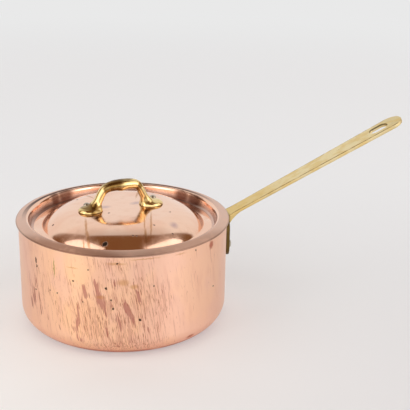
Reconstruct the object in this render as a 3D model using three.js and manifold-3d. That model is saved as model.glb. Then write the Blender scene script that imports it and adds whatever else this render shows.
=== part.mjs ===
import * as THREE from 'three';
import Module from 'manifold-3d';
import { mergeVertices } from 'three/addons/utils/BufferGeometryUtils.js';

const wasm = await Module();
wasm.setup();

// A copper saucepan with its lid, in millimetres. The base rests on Z = 0, the pan's axis is Z
// and the long handle points along +X.

// Driving sizes of the pan
const panOuterRadius = 81.8;
const panHeight = 81.9;
const panCornerRadius = 15;
const panCopper = 2;
const panRimRound = 0.5;
const liningThickness = 0.3;
const liningSetback = 1;

// Driving sizes of the lid: a domed disc in a gutter, with a step up to a broad rest flange.
// Its radii follow the pan's: each is the next one out less the width between them.
const lidCopper = 1.2;
const flangeOverhang = 1.5;
const flangeSlopeWidth = 5.8;
const flangeFlatWidth = 3.5;
const flangeLipDrop = 1.7;
const flangeRound = 7;
const stepRun = 0.6;
const stepRound = 2.2;
const gutterWidth = 9.4;
const gutterDepth = 8.4;
const gutterFootRound = 2;
const gutterSlope = 0.3;
const domeEdgeRound = 2.4;
const domeRise = 13.9;
const domeShoulderRadius = 36;
const domeCrownRound = 1400;
const domeTailLength = 2.6;
const domeTailDrop = 2.14;

// Driving sizes of the pan's brass handle: a flat strap that rises from a riveted shield plate
const plateThickness = 3.2;
const plateWidth = 39;
const plateTopDrop = 5.5;
const plateShoulderDrop = 28.4;
const plateTipDrop = 4.5;
const plateTipWidth = 12;
const plateTopRound = 9;
const plateShoulderRound = 9;
const plateTipRound = 6;
const strapTilt = THREE.MathUtils.degToRad(25.2);
const strapLength = 174.4;
const strapRootDrop = 1.5;
const strapRootWidth = 12.6;
const strapEndWidth = 18.3;
const strapRootThickness = 2.4;
const strapEndThickness = 3.3;
const strapEdgeRound = 0.7;
const strapTipLength = 11;
const slotLength = 16.4;
const slotWidth = 9;
const slotToTip = 21.5;
const neckReach = 15;
const neckDrop = 13.8;
const neckWing = 4.5;
const neckInset = 0.25;

// Rivets: shank, head and dome sizes, and where each sits on its plate or foot
const panRivetShank = 2.6;
const panRivetHead = 4.5;
const panRivetDome = 2.2;
const panRivetInset = 6.5;
const panRivetUpperRise = 7.4;
const panRivetLowerRise = 6.8;
const lidRivetShank = 1.7;
const lidRivetHead = 2.8;
const lidRivetDome = 1.8;
const lidRivetOffset = 2.6;
const lidRivetSide = 3.6;
const innerHeadThickness = 1.4;

// Driving sizes of the lid's brass loop handle
const loopTurn = THREE.MathUtils.degToRad(5);
const loopOffset = -1.8;
const loopHeight = 19.2;
const loopHalfSpan = 21.2;
const loopBarDepth = 7.3;
const loopBarWidth = 9;
const loopLegDepth = 4.4;
const loopLegWidth = 8;
const loopFlareDepth = 8.4;
const loopFlareWidth = 15;
const loopBump = 1;
const loopBumpReach = 3.4;
const footLength = 20;
const footWidth = 17;
const footThickness = 3.8;
const footOffset = 3.3;
const footEdgeRound = 1.3;

// Fits and clearances
const seatGap = 0.3;
const bondGap = 0.05;
const rivetClearance = 0.3;
const cutOverrun = 3;

// Radii and heights that follow from the sizes above
const panInnerRadius = panOuterRadius - panCopper - bondGap - liningThickness;
const flangeRadius = panOuterRadius + flangeOverhang;
const flangeCrestRadius = flangeRadius - flangeSlopeWidth;
const stepTopRadius = flangeCrestRadius - flangeFlatWidth;
const stepBottomRadius = stepTopRadius - stepRun;
const domeEdgeRadius = stepBottomRadius - gutterWidth;
const plateTopHeight = panHeight - plateTopDrop;
const plateShoulderHeight = plateTopHeight - plateShoulderDrop;
const plateTipHeight = plateShoulderHeight - plateTipDrop;
const strapRootHeight = plateTopHeight - strapRootDrop;
const footReach = loopHalfSpan + footOffset;

// Counts
const turnSegments = 56;
const arcSteps = 4;
const smallArcSteps = 2;
const ringPoints = 12;

const copper = { color: 0xe0a487, roughness: 0.25, metalness: 1 };
const lining = { color: 0xc9c7c2, roughness: 0.4, metalness: 1 };
const brass = { color: 0xd9b877, roughness: 0.35, metalness: 1 };

function finish(look) {
  const { color, roughness, metalness } = look;
  return new THREE.MeshStandardMaterial({ color, roughness, metalness });
}

function toSolid(geometry) {
  const bare = geometry.index ? geometry.toNonIndexed() : geometry.clone();
  bare.deleteAttribute('normal');
  bare.deleteAttribute('uv');
  const merged = mergeVertices(bare);
  const vertProperties = new Float32Array(merged.attributes.position.array);
  const triVerts = new Uint32Array(merged.index.array);
  return new wasm.Manifold(new wasm.Mesh({ numProp: 3, vertProperties, triVerts }));
}

function toGeometry(solid) {
  const mesh = solid.getMesh();
  const positions = new Float32Array(mesh.numVert * 3);
  for (let vertex = 0; vertex < mesh.numVert; vertex += 1) {
    for (let axis = 0; axis < 3; axis += 1) {
      positions[vertex * 3 + axis] = mesh.vertProperties[vertex * mesh.numProp + axis];
    }
  }
  const geometry = new THREE.BufferGeometry();
  geometry.setAttribute('position', new THREE.BufferAttribute(positions, 3));
  geometry.setIndex(new THREE.BufferAttribute(new Uint32Array(mesh.triVerts), 1));
  geometry.computeVertexNormals();
  return geometry;
}

function part(name, solid, look) {
  const mesh = new THREE.Mesh(toGeometry(solid), finish(look));
  mesh.name = name;
  return mesh;
}

// Turns a closed outline of (radius, height) points about Z.
function turned(outline, segments = turnSegments) {
  const area = THREE.ShapeUtils.area(outline);
  const ordered = area > 0 ? outline.slice() : outline.slice().reverse();
  const start = ordered.findIndex((point, i) => point.x === 0 && ordered.at(i - 1).x === 0);
  const closing = start < 0 ? [ordered[0].clone()] : [];
  const first = Math.max(start, 0);
  const profile = [...ordered.slice(first), ...ordered.slice(0, first), ...closing];
  const geometry = new THREE.LatheGeometry(profile, segments);
  geometry.rotateX(Math.PI / 2);
  return toSolid(geometry);
}

// Points on an arc about a centre, both ends included.
function arcPoints(centre, radius, fromAngle, toAngle, steps = arcSteps) {
  const points = [];
  for (let step = 0; step <= steps; step += 1) {
    const angle = THREE.MathUtils.lerp(fromAngle, toAngle, step / steps);
    const spoke = new THREE.Vector2(Math.cos(angle), Math.sin(angle));
    points.push(centre.clone().addScaledVector(spoke, radius));
  }
  return points;
}

// A path through corner points, each inner corner rounded by an arc tangent to both its sides.
function roundedPath(corners, steps = smallArcSteps) {
  const points = [corners[0].at.clone()];
  for (let i = 1; i < corners.length - 1; i += 1) {
    const corner = corners[i];
    const toLast = corners[i - 1].at.clone().sub(corner.at).normalize();
    const toNext = corners[i + 1].at.clone().sub(corner.at).normalize();
    const halfAngle = Math.acos(THREE.MathUtils.clamp(toLast.dot(toNext), -1, 1)) / 2;
    const bisector = toLast.clone().add(toNext).normalize();
    const centre = corner.at.clone().addScaledVector(bisector, corner.round / Math.sin(halfAngle));
    const reach = corner.round / Math.tan(halfAngle);
    const start = corner.at.clone().addScaledVector(toLast, reach).sub(centre).angle();
    const end = corner.at.clone().addScaledVector(toNext, reach).sub(centre).angle();
    const sweep = THREE.MathUtils.euclideanModulo(end - start + Math.PI, 2 * Math.PI) - Math.PI;
    points.push(...arcPoints(centre, corner.round, start, start + sweep, steps));
  }
  points.push(corners.at(-1).at.clone());
  return points;
}

// The same path moved sideways by a distance, to its right when it runs outwards.
function offsetPath(path, distance) {
  return path.map((point, i) => {
    const before = path[Math.max(i - 1, 0)];
    const after = path[Math.min(i + 1, path.length - 1)];
    const along = i > 0 ? point.clone().sub(before).normalize() : after.clone().sub(point).normalize();
    const onward = i < path.length - 1 ? after.clone().sub(point).normalize() : along.clone();
    const direction = along.clone().add(onward).normalize();
    if (i === 0 && point.x === 0) {
      return new THREE.Vector2(0, point.y - distance);
    }
    const sideways = new THREE.Vector2(direction.y, -direction.x);
    return point.clone().addScaledVector(sideways, distance / direction.dot(along));
  });
}

// One cup wall: a flat floor, a rounded bottom corner and a straight side.
function cupOutline(inset, thickness, height) {
  const outerRadius = panOuterRadius - inset;
  const cornerCentre = new THREE.Vector2(panOuterRadius - panCornerRadius, panCornerRadius);
  const outerCorner = arcPoints(cornerCentre, panCornerRadius - inset, -Math.PI / 2, 0);
  const innerCorner = arcPoints(cornerCentre, panCornerRadius - inset - thickness, 0, -Math.PI / 2);
  const rimRound = Math.min(panRimRound, thickness / 3);
  const rimCentre = new THREE.Vector2(outerRadius - rimRound, height - rimRound);
  const outerRim = arcPoints(rimCentre, rimRound, 0, Math.PI / 2, smallArcSteps);
  const innerRim = new THREE.Vector2(outerRadius - thickness, height);
  return [
    new THREE.Vector2(0, inset),
    ...outerCorner,
    ...outerRim,
    innerRim,
    ...innerCorner,
    new THREE.Vector2(0, inset + thickness),
  ];
}

// The height of the flange's lip, with its underside a seat gap above the pan's rim.
function lipHeight() {
  const slope = Math.atan2(flangeLipDrop, flangeRadius - flangeCrestRadius);
  const overhang = flangeRadius - panOuterRadius;
  return panHeight + seatGap + lidCopper / Math.cos(slope) - overhang * Math.tan(slope);
}

// The dome's upper face from the axis to its tail: a nearly flat crown and a rounder shoulder,
// two arcs that meet in one direction.
function domePath(crownHeight) {
  const up = Math.PI / 2;
  const crownAngle = Math.asin(domeShoulderRadius / domeCrownRound);
  const crownCentre = new THREE.Vector2(0, crownHeight - domeCrownRound);
  const crown = arcPoints(crownCentre, domeCrownRound, up, up - crownAngle, smallArcSteps);
  crown[0].x = 0;
  const start = crown.pop();
  const run = domeEdgeRadius - domeTailLength - start.x;
  const drop = domeRise - domeTailDrop - (crownHeight - start.y);
  const endAngle = 2 * Math.atan2(drop, run) - crownAngle;
  const round = run / (Math.sin(endAngle) - Math.sin(crownAngle));
  const spoke = new THREE.Vector2(Math.sin(crownAngle), Math.cos(crownAngle));
  const centre = start.clone().addScaledVector(spoke, -round);
  const shoulder = arcPoints(centre, round, up - crownAngle, up - endAngle, arcSteps + 1);
  return { points: [...crown, ...shoulder], endAngle };
}

// The lid's upper face from the axis out to its lip: dome, gutter, step and flange.
function lidTopPath() {
  const crestHeight = lipHeight() + flangeLipDrop;
  const gutterHeight = crestHeight - gutterDepth;
  const dome = domePath(gutterHeight + domeRise);
  const tail = dome.points.pop();
  const tailRun = (tail.y - gutterHeight) / Math.tan(dome.endAngle);
  const rest = roundedPath([
    { at: tail },
    { at: new THREE.Vector2(tail.x + tailRun, gutterHeight), round: domeEdgeRound },
    { at: new THREE.Vector2(stepBottomRadius, gutterHeight + gutterSlope), round: gutterFootRound },
    { at: new THREE.Vector2(stepTopRadius, crestHeight), round: stepRound },
    { at: new THREE.Vector2(flangeCrestRadius, crestHeight), round: flangeRound },
    { at: new THREE.Vector2(flangeRadius, lipHeight()) },
  ]);
  return [...dome.points, ...rest];
}

function lidShell() {
  const top = lidTopPath();
  const under = offsetPath(top, lidCopper);
  const lipMiddle = top.at(-1).clone().add(under.at(-1)).multiplyScalar(0.5);
  const lipFrom = top.at(-1).clone().sub(lipMiddle).angle();
  const lip = arcPoints(lipMiddle, lidCopper / 2, lipFrom, lipFrom - Math.PI, smallArcSteps).slice(1, -1);
  return turned([...top, ...lip, ...under.reverse()]);
}

function lidLining() {
  const top = lidTopPath();
  const reach = top.filter((point) => point.x < stepTopRadius).length;
  const outerFace = offsetPath(top, lidCopper + bondGap).slice(0, reach);
  const innerFace = offsetPath(top, lidCopper + bondGap + liningThickness).slice(0, reach);
  return turned([...outerFace, ...innerFace.reverse()]);
}

// Everything above the lid's upper face, raised by a gap, inside the dome.
function spaceOverDome(gap) {
  const face = offsetPath(lidTopPath().filter((point) => point.x < domeEdgeRadius - domeTailLength), -gap);
  const ceiling = panHeight + loopHeight + domeRise + cutOverrun;
  const edge = face.at(-1).x;
  return turned([...face, new THREE.Vector2(edge, ceiling), new THREE.Vector2(0, ceiling)]);
}

// A closed skin over a row of rings, each a list of the same number of points that run
// anticlockwise when seen from the row's end.
function skinned(rings) {
  const positions = rings.flat().flatMap((point) => [point.x, point.y, point.z]);
  const indices = [];
  const count = rings[0].length;
  const last = (rings.length - 1) * count;
  for (let ring = 0; ring < last; ring += count) {
    for (let i = 0; i < count; i += 1) {
      const here = ring + i;
      const beside = ring + (i + 1) % count;
      indices.push(here, beside, here + count, beside, beside + count, here + count);
    }
  }
  for (let i = 1; i < count - 1; i += 1) {
    indices.push(0, i + 1, i, last, last + i, last + i + 1);
  }
  const geometry = new THREE.BufferGeometry();
  geometry.setAttribute('position', new THREE.Float32BufferAttribute(positions, 3));
  geometry.setIndex(indices);
  return toSolid(geometry);
}

// Half the strap's width along its length: a straight taper, then a half oval for the tip.
function strapHalfWidth(along) {
  const tipStart = strapLength - strapTipLength;
  const half = THREE.MathUtils.lerp(strapRootWidth, strapEndWidth, Math.min(along / tipStart, 1)) / 2;
  const intoTip = Math.max(along - tipStart, 0) / strapTipLength;
  return half * Math.sqrt(Math.max(1 - intoTip * intoTip, 0));
}

function strapThickness(along) {
  return THREE.MathUtils.lerp(strapRootThickness, strapEndThickness, along / strapLength);
}

// The strap's outline seen from above its broad face, as a shape along X, less the edge round.
function strapShape() {
  const alongs = [0];
  for (let step = 0; step < arcSteps * 2; step += 1) {
    const angle = (step / (arcSteps * 2)) * (Math.PI / 2);
    alongs.push(strapLength - strapTipLength + strapTipLength * Math.sin(angle));
  }
  const side = alongs.map((along) => new THREE.Vector2(along, strapHalfWidth(along) - strapEdgeRound));
  const tip = new THREE.Vector2(strapLength - strapEdgeRound, 0);
  const mirrored = side.map((point) => new THREE.Vector2(point.x, -point.y)).reverse();
  return new THREE.Shape([...side, tip, ...mirrored].filter((point) => point.x <= tip.x));
}

function slotShape() {
  const end = slotLength / 2 - slotWidth / 2;
  const round = slotWidth / 2;
  const far = arcPoints(new THREE.Vector2(end, 0), round, -Math.PI / 2, Math.PI / 2, arcSteps * 2);
  const near = arcPoints(new THREE.Vector2(-end, 0), round, Math.PI / 2, 1.5 * Math.PI, arcSteps * 2);
  return new THREE.Shape([...far, ...near]);
}

// Moves a solid made along +X in the strap's own plane to the strap's place on the pan.
function ontoStrap(geometry) {
  geometry.rotateY(-strapTilt);
  geometry.translate(panOuterRadius, 0, strapRootHeight);
  return toSolid(geometry);
}

// The strap: its top face is flat and its underside rises towards the root, where it is thinner.
function strap() {
  const body = new THREE.ExtrudeGeometry(strapShape(), {
    depth: strapEndThickness - 2 * strapEdgeRound,
    bevelEnabled: true,
    bevelThickness: strapEdgeRound,
    bevelSize: strapEdgeRound,
    bevelSegments: 2,
  });
  body.translate(0, 0, strapEdgeRound - strapEndThickness);
  const places = body.attributes.position;
  for (let i = 0; i < places.count; i += 1) {
    places.setZ(i, places.getZ(i) * strapThickness(places.getX(i)) / strapEndThickness);
  }
  return ontoStrap(body);
}

function slotCut() {
  const cut = new THREE.ExtrudeGeometry(slotShape(), {
    depth: strapEndThickness + 2 * cutOverrun,
    bevelEnabled: false,
  });
  cut.translate(strapLength - slotToTip, 0, -strapEndThickness - cutOverrun);
  return ontoStrap(cut);
}

// The shield plate's outline in the plane across the handle: x is sideways, y is height.
function plateShape() {
  const half = plateWidth / 2;
  const tipHalf = plateTipWidth / 2;
  const right = [
    { at: new THREE.Vector2(0, plateTopHeight) },
    { at: new THREE.Vector2(half, plateTopHeight), round: plateTopRound },
    { at: new THREE.Vector2(half, plateShoulderHeight), round: plateShoulderRound },
    { at: new THREE.Vector2(tipHalf, plateTipHeight), round: plateTipRound },
    { at: new THREE.Vector2(0, plateTipHeight) },
  ];
  const side = roundedPath(right, arcSteps);
  const mirrored = side.slice(1, -1).map((point) => new THREE.Vector2(-point.x, point.y)).reverse();
  return new THREE.Shape([...side, ...mirrored]);
}

// A ring about the pan, from one radius to another, between two heights.
function ringSolid(innerRadius, outerRadius, low, high) {
  return turned([
    new THREE.Vector2(innerRadius, low),
    new THREE.Vector2(outerRadius, low),
    new THREE.Vector2(outerRadius, high),
    new THREE.Vector2(innerRadius, high),
  ], turnSegments * 2);
}

function plate() {
  const slab = new THREE.ExtrudeGeometry(plateShape(), {
    depth: panOuterRadius + plateThickness + cutOverrun,
    bevelEnabled: false,
  });
  slab.rotateX(Math.PI / 2);
  slab.rotateZ(Math.PI / 2);
  const skin = ringSolid(panOuterRadius + seatGap, panOuterRadius + seatGap + plateThickness,
    plateTipHeight - cutOverrun, plateTopHeight + cutOverrun);
  return toSolid(slab).intersect(skin);
}

// The neck's rings run from the plate out to the strap. Each is a rounded rectangle whose top lies
// just inside the strap and whose underside sweeps up from the plate, a little inside the strap at its end.
const neckStationShares = [0, 0.12, 0.26, 0.42, 0.62, 0.82, 1];

function neckRing(share) {
  const along = seatGap + share * neckReach;
  const strapTop = strapRootHeight + along * Math.tan(strapTilt);
  const strapUnder = strapTop - strapThickness(along) / Math.cos(strapTilt);
  const sweep = 1 - Math.sqrt(1 - (1 - share) ** 2);
  const top = strapTop - neckInset;
  const bottom = strapUnder + neckInset - neckDrop * sweep;
  const half = strapHalfWidth(along) - neckInset + neckWing * sweep;
  const side = roundedPath([
    { at: new THREE.Vector2(0, bottom) },
    { at: new THREE.Vector2(half, bottom), round: strapEdgeRound },
    { at: new THREE.Vector2(half, top), round: strapEdgeRound },
    { at: new THREE.Vector2(0, top) },
  ]);
  const mirrored = side.slice(1, -1).map((point) => new THREE.Vector2(-point.x, point.y)).reverse();
  return [...side, ...mirrored].map((point) => new THREE.Vector3(panOuterRadius + along, point.x, point.y));
}

function neck() {
  return skinned(neckStationShares.map(neckRing));
}

// Where the rivets of the pan's handle sit, as a sideways place and a height.
const panRivetPlaces = [
  { side: panRivetInset - plateWidth / 2, height: plateShoulderHeight + panRivetUpperRise },
  { side: plateWidth / 2 - panRivetInset, height: plateShoulderHeight + panRivetUpperRise },
  { side: 0, height: plateTipHeight + panRivetLowerRise },
];

// Places a solid made along +Z so that it points out of the pan at a rivet's place.
function ontoPan(solid, place) {
  const angle = THREE.MathUtils.radToDeg(Math.asin(place.side / panOuterRadius));
  return solid.rotate([0, 90, 0]).translate([0, 0, place.height]).rotate([0, 0, angle]);
}

// A round hole's cutter along +Z between two heights.
function shankHole(shank, low, high) {
  const radius = shank + rivetClearance;
  return turned([
    new THREE.Vector2(0, low),
    new THREE.Vector2(radius, low),
    new THREE.Vector2(radius, high),
    new THREE.Vector2(0, high),
  ], ringPoints);
}

// The same solid with a hole for each rivet of the pan's handle.
function drilledForPanRivets(solid) {
  const high = panOuterRadius + seatGap + plateThickness + cutOverrun;
  const hole = shankHole(panRivetShank, panInnerRadius - cutOverrun, high);
  return panRivetPlaces.reduce((body, place) => body.subtract(ontoPan(hole, place)), solid);
}

function panHandle() {
  const wallSide = ringSolid(panInnerRadius - cutOverrun, panOuterRadius + seatGap + plateThickness / 2,
    plateTipHeight - cutOverrun, plateTopHeight + cutOverrun);
  const outside = strap().add(neck()).subtract(wallSide);
  return drilledForPanRivets(plate().add(outside).subtract(slotCut()));
}

// A rivet along +Z: a flat inner head, a shank, and a domed head over the seat.
function rivet(shank, head, dome, innerSeat, outerSeat) {
  const domeRound = (head * head + dome * dome) / (2 * dome);
  const domeAngle = Math.asin(head / domeRound);
  const domeCentre = new THREE.Vector2(0, outerSeat + dome - domeRound);
  const outerHead = arcPoints(domeCentre, domeRound, Math.PI / 2 - domeAngle, Math.PI / 2);
  outerHead.at(-1).x = 0;
  const outline = [
    new THREE.Vector2(0, innerSeat - innerHeadThickness),
    new THREE.Vector2(head, innerSeat - innerHeadThickness),
    new THREE.Vector2(head, innerSeat),
    new THREE.Vector2(shank, innerSeat),
    new THREE.Vector2(shank, outerSeat),
    ...outerHead,
  ];
  return turned(outline, ringPoints);
}

function panRivet(place) {
  const innerSeat = panInnerRadius - seatGap;
  const outerSeat = panOuterRadius + plateThickness + 2 * seatGap;
  return ontoPan(rivet(panRivetShank, panRivetHead, panRivetDome, innerSeat, outerSeat), place);
}

function panShell() {
  return drilledForPanRivets(turned(cupOutline(0, panCopper, panHeight)));
}

function panLining() {
  const cup = turned(cupOutline(panCopper + bondGap, liningThickness, panHeight - liningSetback));
  return drilledForPanRivets(cup);
}

// Half of the loop's centre line, as shares of its half span and height, from a foot to the middle.
const loopLineShares = [
  [1.03, -0.06],
  [0.97, 0.18],
  [0.84, 0.5],
  [0.73, 0.76],
  [0.6, 0.93],
  [0.38, 0.99],
  [0, 1],
];

// Where the loop's flare ends and its bar starts and is full, as shares of half its length.
const loopFlareShare = 0.3;
const loopBarStartShare = 0.42;
const loopBarFullShare = 0.86;
const loopStations = 26;

function loopCurve() {
  const left = loopLineShares.map(([spanShare, riseShare]) => (
    new THREE.Vector3(-spanShare * loopHalfSpan, 0, riseShare * loopHeight)));
  const right = left.slice(0, -1).map((point) => new THREE.Vector3(-point.x, 0, point.z)).reverse();
  return new THREE.CatmullRomCurve3([...left, ...right]);
}

// The loop's section at a share of its length: deep and wide at the bar, slim at the legs and
// flared at the feet.
function loopRing(curve, share) {
  const centre = curve.getPointAt(share);
  const along = curve.getTangentAt(share);
  const outward = new THREE.Vector3(-along.z, 0, along.x);
  const fromFoot = Math.min(share, 1 - share) * 2;
  const legBlend = THREE.MathUtils.smoothstep(fromFoot, 0, loopFlareShare);
  const barBlend = THREE.MathUtils.smoothstep(fromFoot, loopBarStartShare, loopBarFullShare);
  const upperDepth = THREE.MathUtils.lerp(loopLegDepth, loopBarDepth, barBlend);
  const upperWidth = THREE.MathUtils.lerp(loopLegWidth, loopBarWidth, barBlend);
  const depth = THREE.MathUtils.lerp(loopFlareDepth, upperDepth, legBlend) / 2;
  const width = THREE.MathUtils.lerp(loopFlareWidth, upperWidth, legBlend) / 2;
  const bump = Math.abs(centre.x) < loopBumpReach && barBlend === 1 ? loopBump : 0;
  const ring = [];
  for (let i = 0; i < ringPoints; i += 1) {
    const angle = (i / ringPoints) * 2 * Math.PI;
    const reach = Math.sin(angle) < 0 ? depth + bump : depth;
    const point = centre.clone().addScaledVector(outward, reach * Math.sin(angle));
    ring.push(point.add(new THREE.Vector3(0, width * Math.cos(angle), 0)));
  }
  return ring;
}

function loop() {
  const curve = loopCurve();
  const rings = [];
  for (let station = 0; station <= loopStations; station += 1) {
    rings.push(loopRing(curve, station / loopStations));
  }
  return skinned(rings);
}

// One foot: an oval pad with a rounded upper edge.
function foot() {
  const oval = new THREE.Shape();
  oval.absellipse(0, 0, footLength / 2 - footEdgeRound, footWidth / 2 - footEdgeRound, 0, 2 * Math.PI);
  const pad = new THREE.ExtrudeGeometry(oval, {
    depth: footThickness,
    curveSegments: ringPoints,
    bevelEnabled: true,
    bevelThickness: footEdgeRound,
    bevelSize: footEdgeRound,
    bevelSegments: 2,
  });
  pad.translate(0, 0, -footEdgeRound);
  return toSolid(pad);
}

// The height of the dome's crown on the axis.
function crownHeight() {
  return lidTopPath()[0].y;
}

// The loop has a foot, with a rivet, on each side.
const footDirections = [-1, 1];

function ontoLid(solid, direction) {
  const reach = footReach + lidRivetOffset;
  return solid.translate([loopOffset + direction * reach, lidRivetSide, 0]);
}

function drilledForLidRivets(solid) {
  const hole = shankHole(lidRivetShank, crownHeight() - domeRise, crownHeight() + domeRise);
  return footDirections.reduce((body, direction) => body.subtract(ontoLid(hole, direction)), solid);
}

function lidHandle() {
  const feet = footDirections.map((direction) => foot().translate([direction * footReach, 0, 0]));
  const handle = feet.reduce((body, pad) => body.add(pad), loop());
  const placed = handle.translate([loopOffset, 0, crownHeight()]);
  return drilledForLidRivets(placed.intersect(spaceOverDome(seatGap)));
}

// How far the crown has fallen below its middle at the outer side of a lid rivet's inner head.
function lidSag() {
  const reach = footReach + lidRivetOffset - loopOffset + lidRivetHead;
  return domeCrownRound - Math.sqrt(domeCrownRound * domeCrownRound - reach * reach);
}

function lidRivet(direction) {
  const outerSeat = crownHeight() + footThickness + seatGap;
  const innerSeat = crownHeight() - lidSag() - lidCopper - bondGap - liningThickness - seatGap;
  return ontoLid(rivet(lidRivetShank, lidRivetHead, lidRivetDome, innerSeat, outerSeat), direction);
}

const pan = new THREE.Group();
pan.add(part('pan_shell', panShell(), copper));
pan.add(part('pan_lining', panLining(), lining));
pan.add(part('pan_handle', panHandle(), brass));
panRivetPlaces.forEach((place, i) => {
  pan.add(part(`pan_handle_rivet_${i + 1}`, panRivet(place), brass));
});

const lid = new THREE.Group();
lid.rotation.z = loopTurn;
lid.add(part('lid_shell', drilledForLidRivets(lidShell()), copper));
lid.add(part('lid_lining', drilledForLidRivets(lidLining()), lining));
lid.add(part('lid_handle', lidHandle(), brass));
footDirections.forEach((direction, i) => {
  lid.add(part(`lid_handle_rivet_${i + 1}`, lidRivet(direction), brass));
});

const saucepan = new THREE.Group();
saucepan.add(pan);
saucepan.add(lid);

export default saucepan;
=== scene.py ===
import math
import bpy
import bmesh
import numpy as np
from mathutils import Matrix, Vector


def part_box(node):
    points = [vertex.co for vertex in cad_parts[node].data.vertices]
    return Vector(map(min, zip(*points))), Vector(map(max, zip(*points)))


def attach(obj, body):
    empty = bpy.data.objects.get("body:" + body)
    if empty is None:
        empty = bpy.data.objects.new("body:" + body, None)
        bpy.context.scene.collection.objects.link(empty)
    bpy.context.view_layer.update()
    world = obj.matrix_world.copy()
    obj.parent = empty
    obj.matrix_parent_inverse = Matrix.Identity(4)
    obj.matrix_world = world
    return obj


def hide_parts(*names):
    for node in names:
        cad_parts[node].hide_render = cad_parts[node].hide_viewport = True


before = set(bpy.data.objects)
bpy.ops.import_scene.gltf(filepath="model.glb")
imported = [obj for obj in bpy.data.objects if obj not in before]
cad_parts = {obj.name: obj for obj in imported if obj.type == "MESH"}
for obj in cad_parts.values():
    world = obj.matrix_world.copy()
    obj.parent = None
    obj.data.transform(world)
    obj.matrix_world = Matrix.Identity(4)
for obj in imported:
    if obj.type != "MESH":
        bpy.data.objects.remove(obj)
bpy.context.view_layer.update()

# A copper saucepan with its lid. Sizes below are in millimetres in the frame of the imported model:
# the pan stands on z = 0, its axis is z and the long handle points along +x.
millimetre = 0.001


# sRGB hex to linear: each level is raised by the sRGB curve.
def linearColour(hexCode):
    levels = np.array([int(hexCode[i:i + 2], 16) for i in (1, 3, 5)]) / 255
    linear = np.where(levels <= 0.04045, levels / 12.92, ((levels + 0.055) / 1.055) ** 2.4)
    return (*linear.tolist(), 1.0)


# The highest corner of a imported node, in millimetres.
def topCorner(node):
    return np.array(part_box(node)[1]) / millimetre


panRadius, panHeight = topCorner("pan_shell")[0], topCorner("pan_shell")[2]


# A point on an arc: centre plus radius times (cosine, sine) of an angle that runs evenly between two ends.
def arcPoints(centre, radius, fromAngle, toAngle, steps):
    angle = np.linspace(fromAngle, toAngle, steps + 1)
    return np.array(centre) + radius * np.stack([np.cos(angle), np.sin(angle)], axis=-1)


# A path through corners (x, y, round): each inner corner is an arc that touches both its sides.
def roundedPath(corners, steps):
    path = [np.array([corners[0][:2]], float)]
    for before, corner, after in zip(corners, corners[1:], corners[2:]):
        place = np.array(corner[:2])
        back = (np.array(before[:2]) - place) / np.linalg.norm(np.array(before[:2]) - place)
        onward = (np.array(after[:2]) - place) / np.linalg.norm(np.array(after[:2]) - place)
        halfAngle = np.arccos(np.clip(back @ onward, -1, 1)) / 2
        middle = (back + onward) / np.linalg.norm(back + onward)
        centre = place + middle * corner[2] / np.sin(halfAngle)
        reach = corner[2] / np.tan(halfAngle)
        startArm, endArm = place + back * reach - centre, place + onward * reach - centre
        start = np.arctan2(startArm[1], startArm[0])
        sweep = (np.arctan2(endArm[1], endArm[0]) - start + np.pi) % (2 * np.pi) - np.pi
        path.append(arcPoints(centre, corner[2], start, start + sweep, steps))
    path.append(np.array([corners[-1][:2]], float))
    return np.concatenate(path)


# The same path moved to its right by a distance, along the normal at each point.
def offsetPath(path, distance):
    direction = np.gradient(path, axis=0)
    direction /= np.linalg.norm(direction, axis=1, keepdims=True)
    if path[0, 0] == 0:
        direction[0] = (1, 0)
    return path + distance * np.stack([direction[:, 1], -direction[:, 0]], axis=-1)


# Smooth step from 0 to 1 between two values: 3t^2 - 2t^3.
def smoothStep(value, low, high):
    share = np.clip((value - low) / (high - low), 0, 1)
    return share * share * (3 - 2 * share)


# A new object with its data, linked to the scene.
def addObject(name, data):
    thing = bpy.data.objects.new(name, data)
    bpy.context.scene.collection.objects.link(thing)
    return thing


# A closed skin over a grid of points: row i runs along the shape, column j goes round it. Each end is closed
# by one face, or by a fan to a pole.
def skinOver(name, grid, poles=None):
    rows, columns = grid.shape[:2]
    index = np.arange(rows * columns).reshape(rows, columns)
    beside = np.roll(index, -1, axis=1)
    points = grid.reshape(-1, 3)
    faces = np.stack([index[:-1], beside[:-1], beside[1:], index[1:]], axis=-1).reshape(-1, 4).tolist()
    if poles is None:
        faces += [index[0][::-1].tolist(), index[-1].tolist()]
    else:
        first = np.full(columns, rows * columns)
        faces += np.stack([first, beside[0], index[0]], axis=-1).tolist()
        faces += np.stack([first + 1, index[-1], beside[-1]], axis=-1).tolist()
        points = np.concatenate([points, poles])
    mesh = bpy.data.meshes.new(name)
    mesh.from_pydata((points * millimetre).tolist(), [], faces)
    tidyMesh(mesh)
    return addObject(name, mesh)


# Merges doubled points and turns all faces outwards.
def tidyMesh(mesh):
    work = bmesh.new()
    work.from_mesh(mesh)
    bmesh.ops.remove_doubles(work, verts=work.verts, dist=1e-7)
    bmesh.ops.recalc_face_normals(work, faces=work.faces)
    work.to_mesh(mesh)
    work.free()


# All points of a piece's mesh, in millimetres.
def meshPoints(piece):
    points = np.empty(len(piece.data.vertices) * 3)
    piece.data.vertices.foreach_get("co", points)
    return points.reshape(-1, 3) / millimetre


# A profile of (radius, height) from the axis back to the axis, turned about z: a point at angle a lands at
# (radius cos a, radius sin a, height).
def turned(name, profile, segments):
    angle = np.linspace(0, 2 * np.pi, segments, endpoint=False)
    radius = profile[1:-1, 0, None]
    height = np.repeat(profile[1:-1, 1, None], segments, axis=1)
    grid = np.stack([radius * np.cos(angle), radius * np.sin(angle), height], axis=-1)
    return skinOver(name, grid, np.array([[0, 0, profile[0, 1]], [0, 0, profile[-1, 1]]]))


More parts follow.
